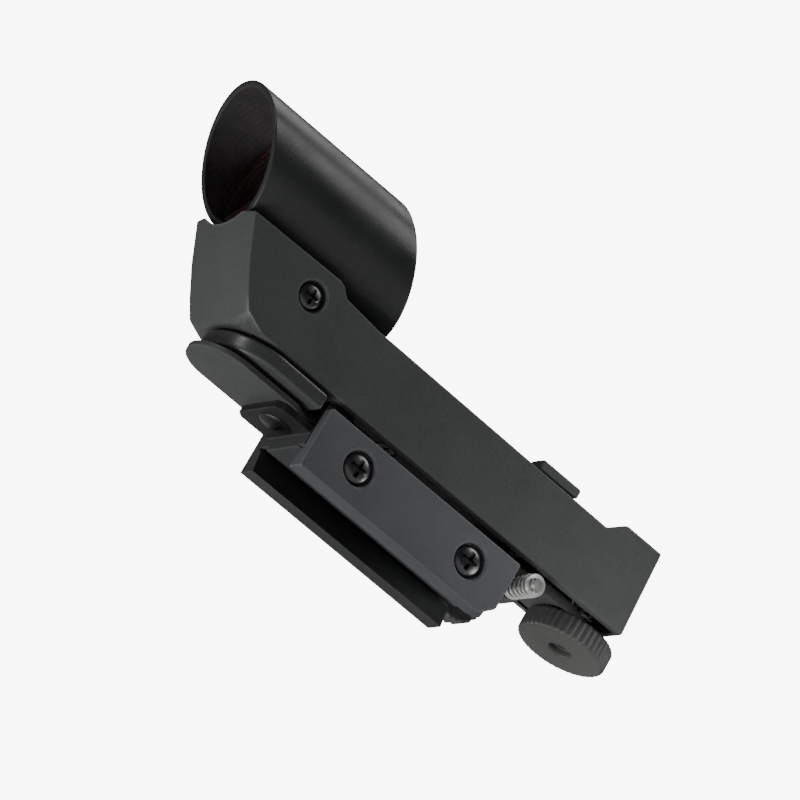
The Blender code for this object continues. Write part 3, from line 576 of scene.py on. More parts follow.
def build_sight_tube():
    front_lip = 0.45
    rear_lip = 0.8
    quarter = [math.radians(90 * step / 4) for step in range(5)]
    profile = []
    for a in quarter:
        profile.append((TUBE_R - front_lip + front_lip * math.sin(a), front_lip - front_lip * math.cos(a)))
    for a in quarter:
        back = TUBE_LENGTH - rear_lip + rear_lip * math.sin(a)
        profile.append((TUBE_R - rear_lip + rear_lip * math.cos(a), back))
    profile += [(INNER_R + 0.2, TUBE_LENGTH), (INNER_R, TUBE_LENGTH - 0.2)]
    profile += [(INNER_R, 0.4), (INNER_R + 0.15, 0.12), (INNER_R + 0.4, 0.0)]
    tube = stacked("sight_tube_shell", [slanted_ring(r, x) for r, x in profile], closed=True)
    join(tube, block("tube_foot_blank", 19.0, 35.0, -5.0, 5.0, -25.0, -TUBE_R + 1.2))
    for side in (-1, 1):
        low, high = across(side, 2.0, 6.0)
        cut(tube, rod("foot_bore", "y", (27.0, 0.0, -19.0), 1.5, low, high, 32))
    shade(tube, 40)
    settle(tube, "finder", "tube_plastic", "sight_tube")
    # the wall inside has the flat black lining
    tube.data.materials.append(LOOK["tube_lining"])
    for face in tube.data.polygons:
        spot = (face.center - ORIGIN) / MM
        radial = math.hypot(spot.y, spot.z)
        inward = face.normal.y * spot.y + face.normal.z * spot.z < 0.0
        if radial < INNER_R + 0.1 and inward and spot.z > -INNER_R - 0.5:
            face.material_index = 1
    return tube


build_sight_tube()

WINDOW_X = 9.0
WINDOW_R = 12.6
WINDOW_TILT = math.radians(5.0)


def build_window():
    """A thin meniscus, hollow towards the eye, with a ground rim."""
    profile = []
    for step in range(9):
        r = 0.05 + (WINDOW_R - 0.35) * step / 8
        profile.append((r, -0.8 + 0.35 * (r / WINDOW_R) ** 2))
    profile += [(WINDOW_R, -0.25), (WINDOW_R, 0.55)]
    for step in range(9):
        r = WINDOW_R - 0.3 - (WINDOW_R - 0.35) * step / 8
        profile.append((r, 0.45 + 0.35 * (r / WINDOW_R) ** 2))
    lens = lathe("window_lens", profile, "x", (0.0, 0.0, 0.0), 128)
    set_at(lens, WINDOW_X, 0.0, WINDOW_TILT)
    settle(shade(lens, 30, weighted=False), "finder", "coated_glass", "reflex_window")
    ring_outer = INNER_R - 0.2
    section = [(11.4, 1.1), (ring_outer - 0.2, 1.1), (ring_outer, 1.3)]
    section += [(ring_outer, 2.5), (11.7, 2.5), (11.4, 2.2)]
    ring = lathe("window_retainer", section, "x", (0.0, 0.0, 0.0), 128, closed=True)
    for side in (-1, 1):
        low, high = across(side, 11.0, 13.2)
        cut(ring, block("spanner_notch", 1.7, 3.0, low, high, -0.8, 0.8))
    set_at(ring, WINDOW_X, 0.0, WINDOW_TILT)
    settle(shade(ring, 35), "finder", "black_plastic", "window_ring")


build_window()

# ------------------------------------------------------------------ bar body
BODY_HALF = 12.0
BODY_BOTTOM = -33.0
BAR_TOP = -15.2
BLOCK_TOP = -12.5
ROOF = -17.7
REAR_WALL = 1.3
NOSE_BULGE = 1.3
GAP = 0.3
CHEEK_SCREW = (27.0, 0.0, -19.0)
TILT_AT = (48.5, 0.0, -29.5)
ALT_X = middle("altitude_wheel").x
CHIN_X = 29.0                 # axis of the cone that clears the tray's round front
CHIN_R = 13.8                 # its radius at the body's bottom
CHIN_SLOPE = 1.65             # how fast the cone widens upwards
TRAY_END = 41.8
LAMP_X = 114.8
LAMP_Z = -14.3
LAMP_ANGLE = math.atan2(-LAMP_Z, LAMP_X - WINDOW_X)
BOARD_SCREWS = ((72.0, 4.0), (109.0, 4.0))
COVER_SCREWS = [(x, y) for x in (61.0, 95.0) for y in (-7.4, 7.4)]
SLIDE_X = middle("power_slide").x


def body_outline():
    """Side outline: the raked nose, the bottom, the lamp block, the bar's top and the cheek's rear step."""
    nose = [(5.9, -12.4), (9.9, -20.9), (13.5, -27.1), (16.4, -31.4), (17.8, BODY_BOTTOM)]
    back = [(BODY_END, BODY_BOTTOM), (BODY_END - 1.2, BLOCK_TOP), (116.6, BLOCK_TOP), (112.6, BAR_TOP - 0.7)]
    return nose + back + [(44.0, BAR_TOP), (34.0, -14.3), (33.1, -13.4), (32.2, -12.5), (30.8, -12.0)]


def body_slice(y):
    """The side outline at a distance from the middle plane; the nose swells forward in the middle."""
    bulge = NOSE_BULGE * (1.0 - (y / BODY_HALF) ** 2)
    return [(x - (bulge if x < 20.0 else 0.0), y, z) for x, z in body_outline()]


def chin_tool():
    """Cuts the nose's lower corners away in a cone that runs down to the tray's round front."""
    below = -1.5
    above = 5.5
    outer = 26.0
    section = [(CHIN_R + CHIN_SLOPE * below, below), (outer, below)]
    section += [(outer, above), (CHIN_R + CHIN_SLOPE * above, above)]
    rings = []
    for step in range(73):
        angle = math.radians(90 + 180 * step / 72)
        rings.append([turned("z", r, angle, BODY_BOTTOM + z, (CHIN_X, 0.0, 0.0)) for r, z in section])
    return stacked("chin", rings)


def hollow_body(shell):
    """The cradle under the sight tube, and the bays for the foot, contacts, ears, board, nut and lamp."""
    cut(shell, rod("cradle", "x", (0.0, 0.0, 0.0), TUBE_R + GAP, -20.0, 62.0, 192))
    cut(shell, block("foot_pocket", 18.6, 35.4, -5.4, 5.4, -25.5, -10.0))
    cut(shell, block("contact_channel", 21.0, 46.0, -5.4, 5.4, -34.0, -27.6))
    cut(shell, block("ear_bay", 44.2, 53.0, -6.9, 6.9, -34.0, ROOF))
    cut(shell, block("cover_ledge", 44.2, 53.0, -10.0, 10.0, -34.0, -31.2))
    cut(shell, block("main_bay", 52.9, 117.4, -10.0, 10.0, -34.0, ROOF))
    cut(shell, block("tail_bay", 117.3, BODY_END - REAR_WALL, -10.0, 10.0, -34.0, -22.6))
    cut(shell, block("lamp_bay", 115.6, 119.6, -3.4, 3.4, -18.5, -13.6))


def cut_side_seats(shell):
    """On each side: the tray's guide, the cross pin's seat and the cheek screw's bore and recess."""
    for side in (-1, 1):
        leg = across(side, 7.2, 9.1)
        lip = across(side, 7.2, 10.2)
        cut(shell, block("tray_leg_way", 20.9, TRAY_END + 0.5, leg[0], leg[1], -34.0, -31.4))
        cut(shell, block("tray_lip_way", 20.9, TRAY_END + 0.5, lip[0], lip[1], -31.5, -30.0))
        seat = across(side, 6.5, 9.7)
        cut(shell, block("pin_slot", TILT_AT[0] - 1.8, TILT_AT[0] + 1.8, seat[0], seat[1], -34.0, TILT_AT[2]))
        cut(shell, rod("pin_seat", "y", TILT_AT, 1.8, seat[0], seat[1], 48))
        low, high = across(side, 5.0, BODY_HALF - 1.5)
        cut(shell, rod("cheek_bore", "y", CHEEK_SCREW, 1.6, low, high, 32))
        mouth = [(3.4, side * (BODY_HALF - 1.9)), (3.4, side * (BODY_HALF - 0.35)),
                 (3.75, side * BODY_HALF), (3.75, side * (BODY_HALF + 1.0))]
        cut(shell, lathe("cheek_recess", mouth, "y", CHEEK_SCREW, 64))


def fit_fixings(shell):
    """The lamp's bore, the switch's slot, the pillars and pads for the screws, and the nut's pocket."""
    lamp_bore = rod("lamp_bore", "x", (0.0, 0.0, 0.0), 1.9, -6.0, 3.0, 48)
    cut(shell, set_at(lamp_bore, LAMP_X, LAMP_Z, LAMP_ANGLE))
    cut(shell, block("slide_slot", SLIDE_X - 5.2, SLIDE_X + 5.2, -9.7, -7.9, ROOF - 0.5, -14.0))
    for x, y in BOARD_SCREWS:
        join(shell, rod("board_pillar", "z", (x, y, 0.0), 2.4, -20.0, ROOF + 1.0, 40))
        cut(shell, rod("board_thread", "z", (x, y, 0.0), 1.3, -21.0, ROOF - 0.3, 24))
    for x, y in COVER_SCREWS:
        low, high = across(math.copysign(1.0, y), 4.9, 10.8)
        join(shell, block("cover_pad", x - 3.0, x + 3.0, low, high, -31.2, -23.2))
        cut(shell, rod("cover_thread", "z", (x, y, 0.0), 1.3, -32.0, -25.5, 24))
    cut(shell, block("nut_pocket", ALT_X - 3.3, ALT_X + 3.3, -3.3, 3.3, -23.5, -18.9))
    cut(shell, rod("screw_way", "z", (ALT_X, 0.0, 0.0), 2.6, -22.0, -15.8, 40))


def build_body():
    shell = stacked("body_shell_skin", [body_slice(BODY_HALF * (i / 8.0 - 1.0)) for i in range(17)])
    round_edges(shell, 0.55, 4, 30)
    cut(shell, chin_tool())
    hollow_body(shell)
    cut_side_seats(shell)
    fit_fixings(shell)
    settle(shade(shell, 35), "finder", "body_plastic", "body_shell")


build_body()


def build_bottom_cover():
    cover = block("bottom_cover_plate", 56.6, 99.6, -9.7, 9.7, BODY_BOTTOM, -31.5)
    for side in (-1, 1):
        low, high = across(side, 7.2, 9.7)
        join(cover, block("cover_tab", 44.6, 58.0, low, high, BODY_BOTTOM, -31.5))
    round_edges(cover, 0.3, 3)
    for x, y in COVER_SCREWS:
        sink = [(2.8, -34.0), (2.6, -32.7), (1.5, -31.9), (1.5, -30.0)]
        cut(cover, lathe("cover_sink", sink, "z", (x, y, 0.0), 48))
    settle(shade(cover), "finder", "black_plastic", "bottom_cover")


build_bottom_cover()


def build_cover_screw(number, x, y):
    """Countersunk thread-forming screw with a cross recess."""
    name = f"cover_screw_{number}"
    face = BODY_BOTTOM + 0.1
    profile = [(1.9, face), (2.15, face + 0.1), (2.2, face + 0.2), (1.0, face + 0.95), (1.0, face + 1.4)]
    profile += [(0.9, face + 1.6), (0.9, face + 6.3), (0.45, face + 6.7)]
    screw = lathe(name + "_steel", profile, "z", (x, y, 0.0), 48)
    cut(screw, *cross_tool(name, (x, y, 0.0), "z", face, -1, 1.25, 0.28, 0.9))
    settle(shade(screw, 35), "finder", "black_steel", name, slot="steel")


for number, (x, y) in enumerate(COVER_SCREWS):
    build_cover_screw(number + 1, x, y)


def build_cheek_screw(name, side):
    """Raised-head screw sunk in the cheek; it clamps the body to the sight tube's foot."""
    out = side * (BODY_HALF - 0.4)
    profile = [(0.05, out), (1.2, out - side * 0.04), (2.1, out - side * 0.18), (2.75, out - side * 0.5),
               (3.0, out - side * 0.9), (3.0, out - side * 1.3), (1.2, out - side * 1.3),
               (1.2, side * 2.9), (0.6, side * 2.5)]
    screw = lathe(name + "_steel", profile, "y", CHEEK_SCREW, 72)
    cut(screw, *cross_tool(name, CHEEK_SCREW, "y", out, side, 1.9, 0.42, 1.1))
    settle(shade(screw, 32), "finder", "black_steel", name, slot="steel")


build_cheek_screw("cheek_screw_left", -1)
build_cheek_screw("cheek_screw_right", 1)


def build_power_slide():
    low, high = span("power_slide")
    cap_low = BAR_TOP - 0.05
    cap = block("power_slide_cap", low.x, high.x, low.y, high.y, cap_low, high.z)
    round_edges(cap, 0.55, 4)
    for number in range(5):
        x = SLIDE_X + (number - 2) * 1.7
        cut(cap, rod("grip_groove", "y", (x, 0.0, high.z + 0.25), 0.62, low.y + 0.7, high.y - 0.7, 24))
    join(cap, block("slide_stem", SLIDE_X - 1.6, SLIDE_X + 1.6, -9.3, -8.3, -19.1, cap_low + 0.6))
    settle(shade(cap, 35), "power_switch", "body_plastic", "power_slide")


build_power_slide()


def build_lamp():
    """A 3 mm lamp with a domed nose and a clear red body."""
    profile = []
    for degrees in range(6, 91, 12):
        a = math.radians(degrees)
        profile.append((1.45 * math.sin(a), 0.5 - 1.1 * math.cos(a)))
    profile += [(1.5, 0.8), (1.5, 3.6), (1.48, 4.2)]
    lamp = lathe("lamp_body", profile, "x", (0.0, 0.0, 0.0), 48)
    set_at(lamp, LAMP_X, LAMP_Z - 0.4, LAMP_ANGLE)
    settle(shade(lamp, 50, weighted=False), "finder", "red_lens", "led_lamp")


build_lamp()


def build_board_parts():
    """Small parts soldered to the underside of the board."""
    under = middle("circuit_board").z - 0.7
    parts = block("board_parts_row", 62.0, 66.2, -3.2, 3.2, under - 1.4, under)
    round_edges(parts, 0.2, 2)
    settle(shade(parts), "finder", "black_plastic")
    for number in range(4):
        x = 78.0 + number * 6.5
        part = block(f"chip_resistor_{number + 1}", x, x + 2.0, -4.6, -3.4, under - 0.6, under)
        round_edges(part, 0.1, 2)
        settle(shade(part), "finder", "black_plastic")
    profile = [(2.0, under - 5.0), (2.4, under - 4.7), (2.5, under - 1.2)]
    profile += [(2.2, under - 1.0), (2.5, under - 0.8), (2.5, under)]
    can = lathe("capacitor_can", profile, "z", (88.0, 4.2, 0.0), 48)
    settle(shade(can, 40), "finder", "cell", slot="steel")


build_board_parts()

# ------------------------------------------------------------------ battery tray
TRAY_X = middle("coin_cell").x
TRAY_R = 12.3
TRAY_TOP = -33.7
LEG_X = 38.2                  # front of the legs that run in the body's guides
CELL_R = 10.0
CELL_HEIGHT = 3.2
CELL_FLOOR = TRAY_TOP + 0.15 - CELL_HEIGHT


def build_tray():
    outline = arc(TRAY_X, 0.0, TRAY_R, 90, 270, 96) + [(TRAY_END, -TRAY_R + 0.4), (TRAY_END, TRAY_R - 0.4)]
    tray = plate("battery_tray_shell", outline, span("battery_tray")[0].z, TRAY_TOP)
    round_edges(tray, 0.8, 5, 50)
    cut(tray, rod("cell_pocket", "z", (TRAY_X, 0.0, 0.0), CELL_R + GAP, CELL_FLOOR - GAP, -30.0, 128))
    cut(tray, block("contact_slot", 37.0, TRAY_END + 1.0, 0.9, 3.9, -35.6, -32.0))
    for side in (-1, 1):
        leg = across(side, 7.6, 8.8)
        lip = across(side, 7.6, 9.9)
        join(tray, block("tray_leg", LEG_X, TRAY_END, leg[0], leg[1], TRAY_TOP - 0.8, -30.8))
        join(tray, block("tray_lip", LEG_X, TRAY_END, lip[0], lip[1], -31.1, -30.3))
    settle(shade(tray, 35), "battery_drawer", "tray_plastic", "battery_tray", slot="body_plastic")


build_tray()


def build_cell():
    """The coin cell's can, with its stepped lower face."""
    floor = CELL_FLOOR
    top = floor + CELL_HEIGHT
    can = [(9.0, floor), (9.2, floor + 0.08), (9.3, floor + 0.25), (9.6, floor + 0.28), (9.85, floor + 0.4)]
    can += [(CELL_R, floor + 0.65), (CELL_R, top - 0.3), (CELL_R - 0.07, top - 0.08), (CELL_R - 0.25, top)]
    cell = lathe("coin_cell_can", can, "z", (TRAY_X, 0.0, 0.0), 128)
    settle(shade(cell, 40), "battery_drawer", "cell", "coin_cell", slot="steel")


build_cell()

# ------------------------------------------------------------------ swivel arm
SWIVEL_X = middle("swivel_pin").x
ARM_TOP = -38.0
ARM_BOTTOM = -39.7
ARM_NOSE_TOP = -38.5
TONGUE_X = 23.4               # centre of the nose's round end
TONGUE_HALF = 9.0
TONGUE_END = 38.0
ARM_HALF = 6.4
TAIL_TOP = -32.0
TAIL_BOTTOM = -34.2
AZ_AT = (middle("azimuth_screw").x, 0.0, middle("azimuth_screw").z)


def build_arm():
    outline = arc(TONGUE_X, 0.0, TONGUE_HALF, 90, 270, 90)
    edge = [(TONGUE_END, TONGUE_HALF), (TONGUE_END + 4.0, ARM_HALF), (53.0, ARM_HALF)]
    edge += [(58.0, 5.4), (97.0, 5.4), (99.6, 3.2), (AZ_AT[0], 3.2)]
    outline += [(x, -y) for x, y in edge] + list(reversed(edge))
    arm = plate("swivel_arm_bar", outline, ARM_BOTTOM, ARM_TOP)
    cut(arm, block("nose_step", 8.0, 43.0, -15.0, 15.0, ARM_NOSE_TOP, -30.0))
    for side in (-1, 1):
        ear = [(TILT_AT[0] - 3.4, ARM_TOP - 0.8), (TILT_AT[0] + 3.4, ARM_TOP - 0.8)]
        ear += arc(TILT_AT[0], TILT_AT[2], 3.2, 0, 180, 32)
        low, high = across(side, 3.9, ARM_HALF)
        join(arm, slab("arm_ear", ear, low, high))
    lug = [(AZ_AT[0] - 3.2, ARM_TOP - 1.2), (AZ_AT[0] + 0.6, ARM_TOP - 1.7), (AZ_AT[0] + 2.6, ARM_TOP - 0.8)]
    lug += [(AZ_AT[0] + 3.3, AZ_AT[2]), (AZ_AT[0] + 3.3, TAIL_TOP), (AZ_AT[0] - 3.2, TAIL_TOP)]
    join(arm, slab("arm_lug", lug, -3.2, 3.2))
    tail = [(102.0, 3.2), (102.0, -3.2), (108.0, -3.2), (110.6, -5.8), (118.0, -5.8)]
    tail += arc(ALT_X, 0.0, 3.1, -60, 60, 24) + [(118.0, 5.8), (110.6, 5.8), (108.0, 3.2)]
    join(arm, plate("arm_tail", tail, TAIL_BOTTOM, TAIL_TOP))
    cut(arm, rod("swivel_bore", "z", (SWIVEL_X, 0.0, 0.0), 2.4, -45.0, -30.0))
    cut(arm, rod("swivel_seat", "z", (SWIVEL_X, 0.0, 0.0), 4.6, ARM_NOSE_TOP - 0.5, -30.0))
    cut(arm, rod("ear_bore", "y", TILT_AT, 1.8, -9.0, 9.0, 40))
    cut(arm, rod("nut_bore", "y", AZ_AT, 2.4, -5.0, 5.0, 40))
    cut(arm, rod("tail_bore", "z", (ALT_X, 0.0, 0.0), 2.2, -36.0, -30.0, 40))
    round_edges(arm, 0.18, 2, 40)
    settle(shade(arm, 35), "arm", "bracket_plastic", "swivel_arm")


build_arm()

# ------------------------------------------------------------------ bracket and clamp
SEAT_TOP = -39.95
FOOT_BOTTOM = -41.4
SLOT_ROOF = -44.6
FEET = span("clamp_plate")[0].z
CLAMP_X0 = span("clamp_plate")[0].x
CLAMP_X1 = span("clamp_plate")[1].x
CLAMP_BACK = -8.6
CLAMP_SEAT = -10.5            # where the clamp screws' heads bear on the plate
CLAMP_SCREW_Z = -42.0
CLAMP_PITCH = 0.7
FOOT_X = 34.4
FOOT_NEAR = -8.2
FOOT_FAR = 8.8
LUG_INNER = 9.0
LUG_OUTER = 11.6


def build_bracket():
    base = block("bracket_base_shell", CLAMP_X0, CLAMP_X1, -6.4, 6.4, SLOT_ROOF, SEAT_TOP)
    join(base, block("near_shelf", CLAMP_X0, CLAMP_X1, CLAMP_BACK + GAP, 0.0, SLOT_ROOF + 0.4, SEAT_TOP))
    join(base, block("far_shelf", CLAMP_X0, CLAMP_X1, 0.0, 9.8, SLOT_ROOF + 1.0, SEAT_TOP))
    jaw = [(7.0, FEET), (12.0, FEET), (12.0, SEAT_TOP), (9.4, SEAT_TOP), (9.4, SLOT_ROOF), (8.6, SLOT_ROOF)]
    join(base, stacked("fixed_jaw", [[(x, y, z) for y, z in jaw] for x in (CLAMP_X0, CLAMP_X1)]))
    foot = [(FOOT_X, FOOT_FAR - 1.5), (FOOT_X, FOOT_NEAR + 1.5), (FOOT_X + 1.5, FOOT_NEAR)]
    foot += [(46.0, FOOT_NEAR), (46.0, FOOT_FAR), (FOOT_X + 1.5, FOOT_FAR)]
    join(base, plate("front_foot", foot, FOOT_BOTTOM, SEAT_TOP))
    tail = [(98.0, -8.3), (100.0, -8.3), (107.3, LUG_INNER), (107.3, LUG_OUTER), (98.0, LUG_OUTER)]
    join(base, plate("tail_plate", tail, -41.7, SEAT_TOP))
    join(base, block("azimuth_lug", AZ_AT[0] - 3.1, AZ_AT[0] + 2.9, LUG_INNER, LUG_OUTER, -41.2, -34.5))
    round_edges(base, 0.3, 3, 40)
    cut(base, rod("azimuth_bore", "y", AZ_AT, 1.6, 7.0, 14.0, 40))
    for screw in ("clamp_screw_front", "clamp_screw_rear"):
        cut(base, rod("clamp_thread", "y", (middle(screw).x, 0.0, CLAMP_SCREW_Z), 1.8, -12.0, 1.5, 40))
    cut(base, rod("pin_bore", "z", (SWIVEL_X, 0.0, 0.0), 2.3, -43.0, -38.0, 48))
    settle(shade(base, 35), "bracket", "bracket_plastic", "bracket_base")
    # painted shade: the foot ahead of the clamp gets the darker black plastic, standing in for the shade
    # between the tray and the clamp
    base.data.materials.append(LOOK["black_plastic"])
    for face in base.data.polygons:
        if (face.center.x - ORIGIN.x) / MM < CLAMP_X0 - 0.05:
            face.material_index = 1


build_bracket()


def build_swivel_pin():
    head = FOOT_BOTTOM - 0.15
    profile = [(0.05, head - 0.6), (1.6, head - 0.56), (2.8, head - 0.42), (3.5, head - 0.2), (3.8, head),
               (2.0, head), (2.0, ARM_NOSE_TOP - 0.3), (1.8, ARM_NOSE_TOP - 0.1)]
    pin = lathe("swivel_rivet", profile, "z", (SWIVEL_X, 0.0, 0.0), 64)
    settle(shade(pin, 35), "bracket", "black_steel", "swivel_pin", slot="steel")


build_swivel_pin()


def build_clamp_plate():
    profile = [(-BODY_HALF, -35.2), (-BODY_HALF, FEET), (-6.9, FEET), (CLAMP_BACK, SLOT_ROOF),
               (CLAMP_BACK, -35.2)]
    bar = stacked("clamp_bar", [[(x, y, z) for y, z in profile] for x in (CLAMP_X0, CLAMP_X1)])
    corner = [(CLAMP_X1 - 4.0, FEET - 0.8), (CLAMP_X1 + 1.0, FEET - 0.8), (CLAMP_X1 + 1.0, FEET + 4.2)]
    cut(bar, slab("clamp_corner", corner, -14.0, -5.0))
    round_edges(bar, 0.5, 4)
    for name in ("clamp_screw_front", "clamp_screw_rear"):
        axis_at = (middle(name).x, 0.0, CLAMP_SCREW_Z)
        mouth = [(4.35, -13.0), (4.3, -12.0), (3.85, -11.55), (3.8, CLAMP_SEAT + 0.3)]
        cut(bar, lathe("clamp_recess", mouth, "y", axis_at, 72))
        cut(bar, rod("clamp_bore", "y", axis_at, 1.9, -11.0, -6.0, 48))
    settle(shade(bar, 35), "clamp", "clamp_paint", "clamp_plate")


build_clamp_plate()


def build_clamp_screw(name, body):
    """Pan-head machine screw with a cross recess; its shank carries the clamp's thread."""
    out = span(name)[0].y
    centre = (middle(name).x, 0.0, CLAMP_SCREW_Z)
    profile = [(0.05, out), (1.4, out + 0.05), (2.4, out + 0.22), (3.05, out + 0.52), (3.4, out + 0.95),
               (3.45, out + 1.25), (3.4, CLAMP_SEAT), (1.5, CLAMP_SEAT), (1.5, CLAMP_SEAT + 0.6),
               (1.3, CLAMP_SEAT + 0.8), (1.3, CLAMP_SEAT + 1.3)]
    screw = lathe(name + "_head", profile, "y", centre, 96)
    cut(screw, *cross_tool(name, centre, "y", out, -1, 2.3, 0.5, 1.15))
    shade(screw, 32)
    shank = thread(name + "_shank", "y", centre, 1.55, 0.28, CLAMP_PITCH, CLAMP_SEAT + 0.9, 1.1)
    settle(screw, body, "black_steel", name, slot="steel")
    settle(shank, body, "steel")


build_clamp_screw("clamp_screw_front", "clamp_bolt_front")
build_clamp_screw("clamp_screw_rear", "clamp_bolt_rear")

# ------------------------------------------------------------------ altitude adjuster
ALT_AT = (ALT_X, 0.0, 0.0)
ALT_PITCH = 0.7


def build_altitude_parts():
    low, high = span("altitude_wheel")
    radius = (high.x - low.x) / 2
    wheel = ribbed_wheel("altitude_thumbwheel", "z", ALT_AT, radius, 0.32, low.z, high.z, 44, 0.75)
    cut(wheel, rod("wheel_bore", "z", ALT_AT, 2.1, -45.0, -30.0, 48))
    eye = [(3.1, low.z - 1.0), (3.0, low.z), (2.6, low.z + 0.45), (2.6, low.z + 1.6)]
    cut(wheel, lathe("wheel_eye", eye, "z", ALT_AT, 48))
    settle(shade(wheel, 50), "altitude_adjuster", "wheel_plastic", "altitude_wheel")
    foot, tip = span("altitude_screw")
    screw = thread("altitude_thread", "z", ALT_AT, 1.75, 0.32, ALT_PITCH, foot.z, tip.z, 48, 8)
    settle(screw, "altitude_adjuster", "steel", "altitude_screw")
    bottom, top = span("altitude_spring")
    spring = coil("altitude_coil", "z", ALT_AT, 2.7, 0.35, bottom.z, top.z, 5.6)
    dress(spring, "spring_steel")
    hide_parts("altitude_spring")
    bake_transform(spring)


build_altitude_parts()

# ------------------------------------------------------------------ azimuth adjuster
AZ_PITCH = 0.5


def build_azimuth_parts():
    low, high = span("azimuth_wheel")
    radius = (high.x - low.x) / 2
    wheel = ribbed_wheel("azimuth_thumbwheel", "y", AZ_AT, radius, 0.36, low.y, high.y, 22, 0.65)
    cut(wheel, rod("wheel_bore", "y", AZ_AT, 1.6, low.y - 1.0, 19.5, 48))
    dish = [(4.6, high.y + 1.0), (4.4, high.y), (4.0, high.y - 0.5), (0.05, high.y - 0.6)]
    cut(wheel, lathe("wheel_dish", dish, "y", AZ_AT, 64))
    settle(shade(wheel, 50), "azimuth_adjuster", "wheel_plastic", "azimuth_wheel")
    tip = span("azimuth_screw")[0].y
    face = LUG_OUTER + 0.4
    collar = [(1.1, LUG_OUTER), (1.25, face - 0.1), (1.3, face), (2.2, face), (2.4, face + 0.2)]
    collar += [(2.4, face + 3.0), (2.2, face + 3.2), (1.3, face + 3.2), (1.3, 19.0), (1.1, 19.2)]
    shoulder = lathe("azimuth_screw_collar", collar, "y", AZ_AT, 48)
    settle(shade(shoulder, 35), "azimuth_adjuster", "steel", "azimuth_screw")
    screw = thread("azimuth_thread", "y", AZ_AT, 1.3, 0.22, AZ_PITCH, tip, LUG_OUTER + 0.1, 36, 8)
    settle(screw, "azimuth_adjuster", "steel")
    clip_low, clip_high = span("azimuth_clip")
    ring = [(1.6, clip_low.y + 0.1), (2.35, clip_low.y), (2.5, clip_low.y + 0.2), (2.5, clip_high.y - 0.2),
            (2.35, clip_high.y), (1.6, clip_high.y - 0.1)]
    clip = lathe("azimuth_retainer", ring, "y", AZ_AT, 64, closed=True)
    settle(shade(clip, 40), "azimuth_adjuster", "spring_steel", "azimuth_clip", slot="steel")
    near, far = span("azimuth_spring")
    spring = coil("azimuth_coil", "y", AZ_AT, 2.3, 0.33, near.y, far.y, 5.6)
    dress(spring, "spring_steel")
    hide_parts("azimuth_spring")
    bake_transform(spring)


build_azimuth_parts()

# ------------------------------------------------------------------ looks of the CAD nodes that stay
KEPT = {
    "altitude_nut": "brass", "azimuth_nut": "brass", "contact_minus": "brass", "contact_plus": "brass",
    "hinge_pin": "steel", "swivel_clip": "spring_steel", "board_screw_1": "steel", "board_screw_2": "steel",
    "led_holder": "black_plastic", "switch_block": "black_plastic", "circuit_board": "board",
}
for node_name, look in KEPT.items():
    for material_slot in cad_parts[node_name].material_slots:
        material_slot.material = LOOK[look]

# ------------------------------------------------------------------ floor, light and camera
AZIMUTH = math.radians(-24.8)     # from straight at the clamp-screw side, towards the sky end
ELEVATION = math.radians(-21.7)   # the camera looks up from under the finder
ROLL = math.radians(30.4)
LENS = 400.0
SENSOR = 36.0
FIELD = 0.168                     # width of the view at the object, metres
AIM = (62.946, 3.05, -17.7)       # the design point in the middle of the view

low, high = (Vector(corner) for corner in cad_bounds)
centre = (low + high) / 2


def add_camera():
    """A long lens aimed at AIM from the view's azimuth and elevation, rolled about its own axis."""
    flat = math.cos(ELEVATION)
    back = Vector((math.sin(AZIMUTH) * flat, -math.cos(AZIMUTH) * flat, math.sin(ELEVATION)))
    level = Vector((0.0, 0.0, 1.0)).cross(back).normalized()
    upright = back.cross(level)
    right = level * math.cos(ROLL) + upright * math.sin(ROLL)
    up = upright * math.cos(ROLL) - level * math.sin(ROLL)
    data = bpy.data.cameras.new("camera")
    data.lens = LENS
    data.sensor_width = SENSOR
    data.clip_start = 0.01
    data.clip_end = 50.0
    camera = bpy.data.objects.new("camera", data)
    bpy.context.scene.collection.objects.link(camera)
    turn = Matrix((right, up, back)).transposed().to_4x4()
    place = ORIGIN + Vector(AIM) * MM + back * (FIELD * LENS / SENSOR)
    camera.matrix_world = Matrix.Translation(place) @ turn
    bpy.context.scene.camera = camera


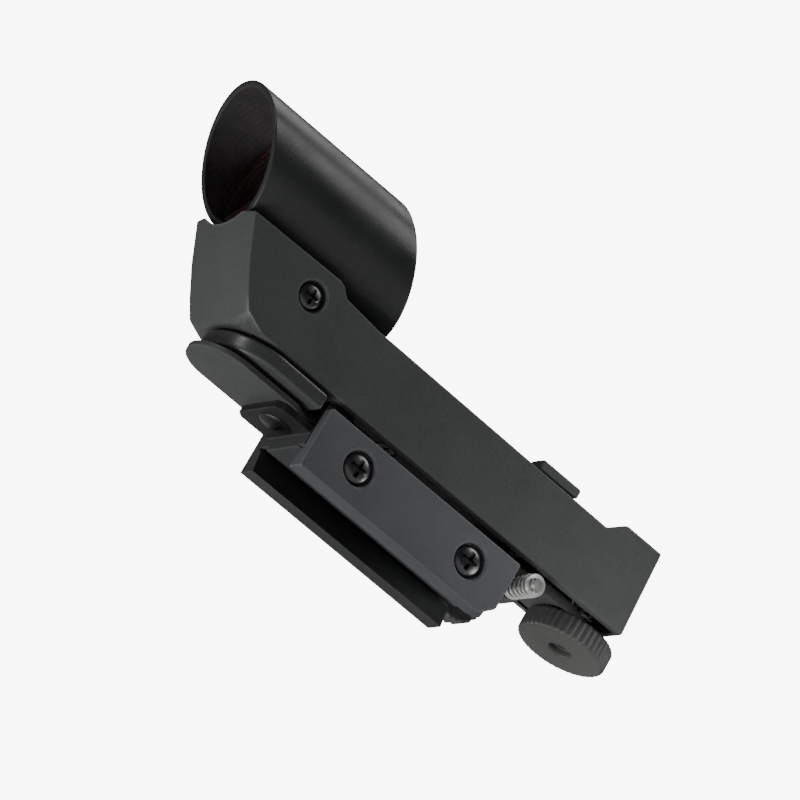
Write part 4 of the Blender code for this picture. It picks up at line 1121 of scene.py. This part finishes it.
def add_floor():
    """A pale floor that shows only from above, because the finder is seen from below its feet.

    A little of its own light, which only the camera sees, keeps it pale under the soft lights.
    """
    size = 3.0
    corners = [(-size, -size, low.z), (size, -size, low.z), (size, size, low.z), (-size, size, low.z)]
    mesh = bpy.data.meshes.new("floor")
    mesh.from_pydata(corners, [], [(0, 1, 2, 3)])
    floor = bpy.data.objects.new("floor", mesh)
    bpy.context.scene.collection.objects.link(floor)
    material = bpy.data.materials.new("pale_floor")
    material.use_nodes = True
    tree = material.node_tree
    shader = tree.nodes["Principled BSDF"]
    shader.inputs["Base Color"].default_value = (0.80, 0.80, 0.79, 1.0)
    shader.inputs["Roughness"].default_value = 0.9
    shader.inputs["Emission Color"].default_value = (0.97, 0.97, 0.97, 1.0)
    path = tree.nodes.new("ShaderNodeLightPath")
    lift = tree.nodes.new("ShaderNodeMath")
    lift.operation = "MULTIPLY"
    lift.inputs[1].default_value = 1.2
    tree.links.new(path.outputs["Is Camera Ray"], lift.inputs[0])
    tree.links.new(lift.outputs[0], shader.inputs["Emission Strength"])
    clear = tree.nodes.new("ShaderNodeBsdfTransparent")
    side = tree.nodes.new("ShaderNodeNewGeometry")
    either = tree.nodes.new("ShaderNodeMixShader")
    tree.links.new(side.outputs["Backfacing"], either.inputs[0])
    tree.links.new(shader.outputs[0], either.inputs[1])
    tree.links.new(clear.outputs[0], either.inputs[2])
    tree.links.new(either.outputs[0], tree.nodes["Material Output"].inputs[0])
    mesh.materials.append(material)
    floor.visible_shadow = False


def add_light(name, towards, distance, size, energy, spread=180):
    """A round soft light aimed at the finder; 'spread' is the width of its beam in degrees."""
    data = bpy.data.lights.new(name, "AREA")
    data.shape = "DISK"
    data.size = size
    data.energy = energy
    data.spread = math.radians(spread)
    lamp = bpy.data.objects.new(name, data)
    bpy.context.scene.collection.objects.link(lamp)
    towards = Vector(towards).normalized()
    lamp.location = centre + towards * distance
    lamp.rotation_euler = towards.to_track_quat("Z", "Y").to_euler()
    lamp.visible_camera = False


def add_world():
    """A white surround: bright to the camera, and a soft fill for the object."""
    world = bpy.data.worlds.new("studio")
    bpy.context.scene.world = world
    world.use_nodes = True
    tree = world.node_tree
    fill = tree.nodes["Background"]
    fill.inputs[0].default_value = (0.93, 0.96, 1.0, 1.0)
    fill.inputs[1].default_value = 0.07
    seen = tree.nodes.new("ShaderNodeBackground")
    seen.inputs[0].default_value = (0.97, 0.97, 0.97, 1.0)
    seen.inputs[1].default_value = 9.0
    path = tree.nodes.new("ShaderNodeLightPath")
    either = tree.nodes.new("ShaderNodeMixShader")
    tree.links.new(path.outputs["Is Camera Ray"], either.inputs[0])
    tree.links.new(fill.outputs[0], either.inputs[1])
    tree.links.new(seen.outputs[0], either.inputs[2])
    tree.links.new(either.outputs[0], tree.nodes["World Output"].inputs[0])


add_camera()
add_floor()
add_world()
add_light("key_below_front", (-0.47, 0.04, -0.88), 0.9, 0.5, 5.9)
add_light("front_near", (-0.88, -0.26, 0.37), 0.5, 0.10, 0.30)
add_light("strip_above_near", (0.40, -0.44, 0.80), 0.45, 0.27, 0.53)
add_light("rear_side", (0.85, -0.52, -0.08), 0.129, 0.05, 0.0083, spread=80)
add_light("top_soft", (0.1, 0.25, 1.0), 1.1, 0.8, 2.6)
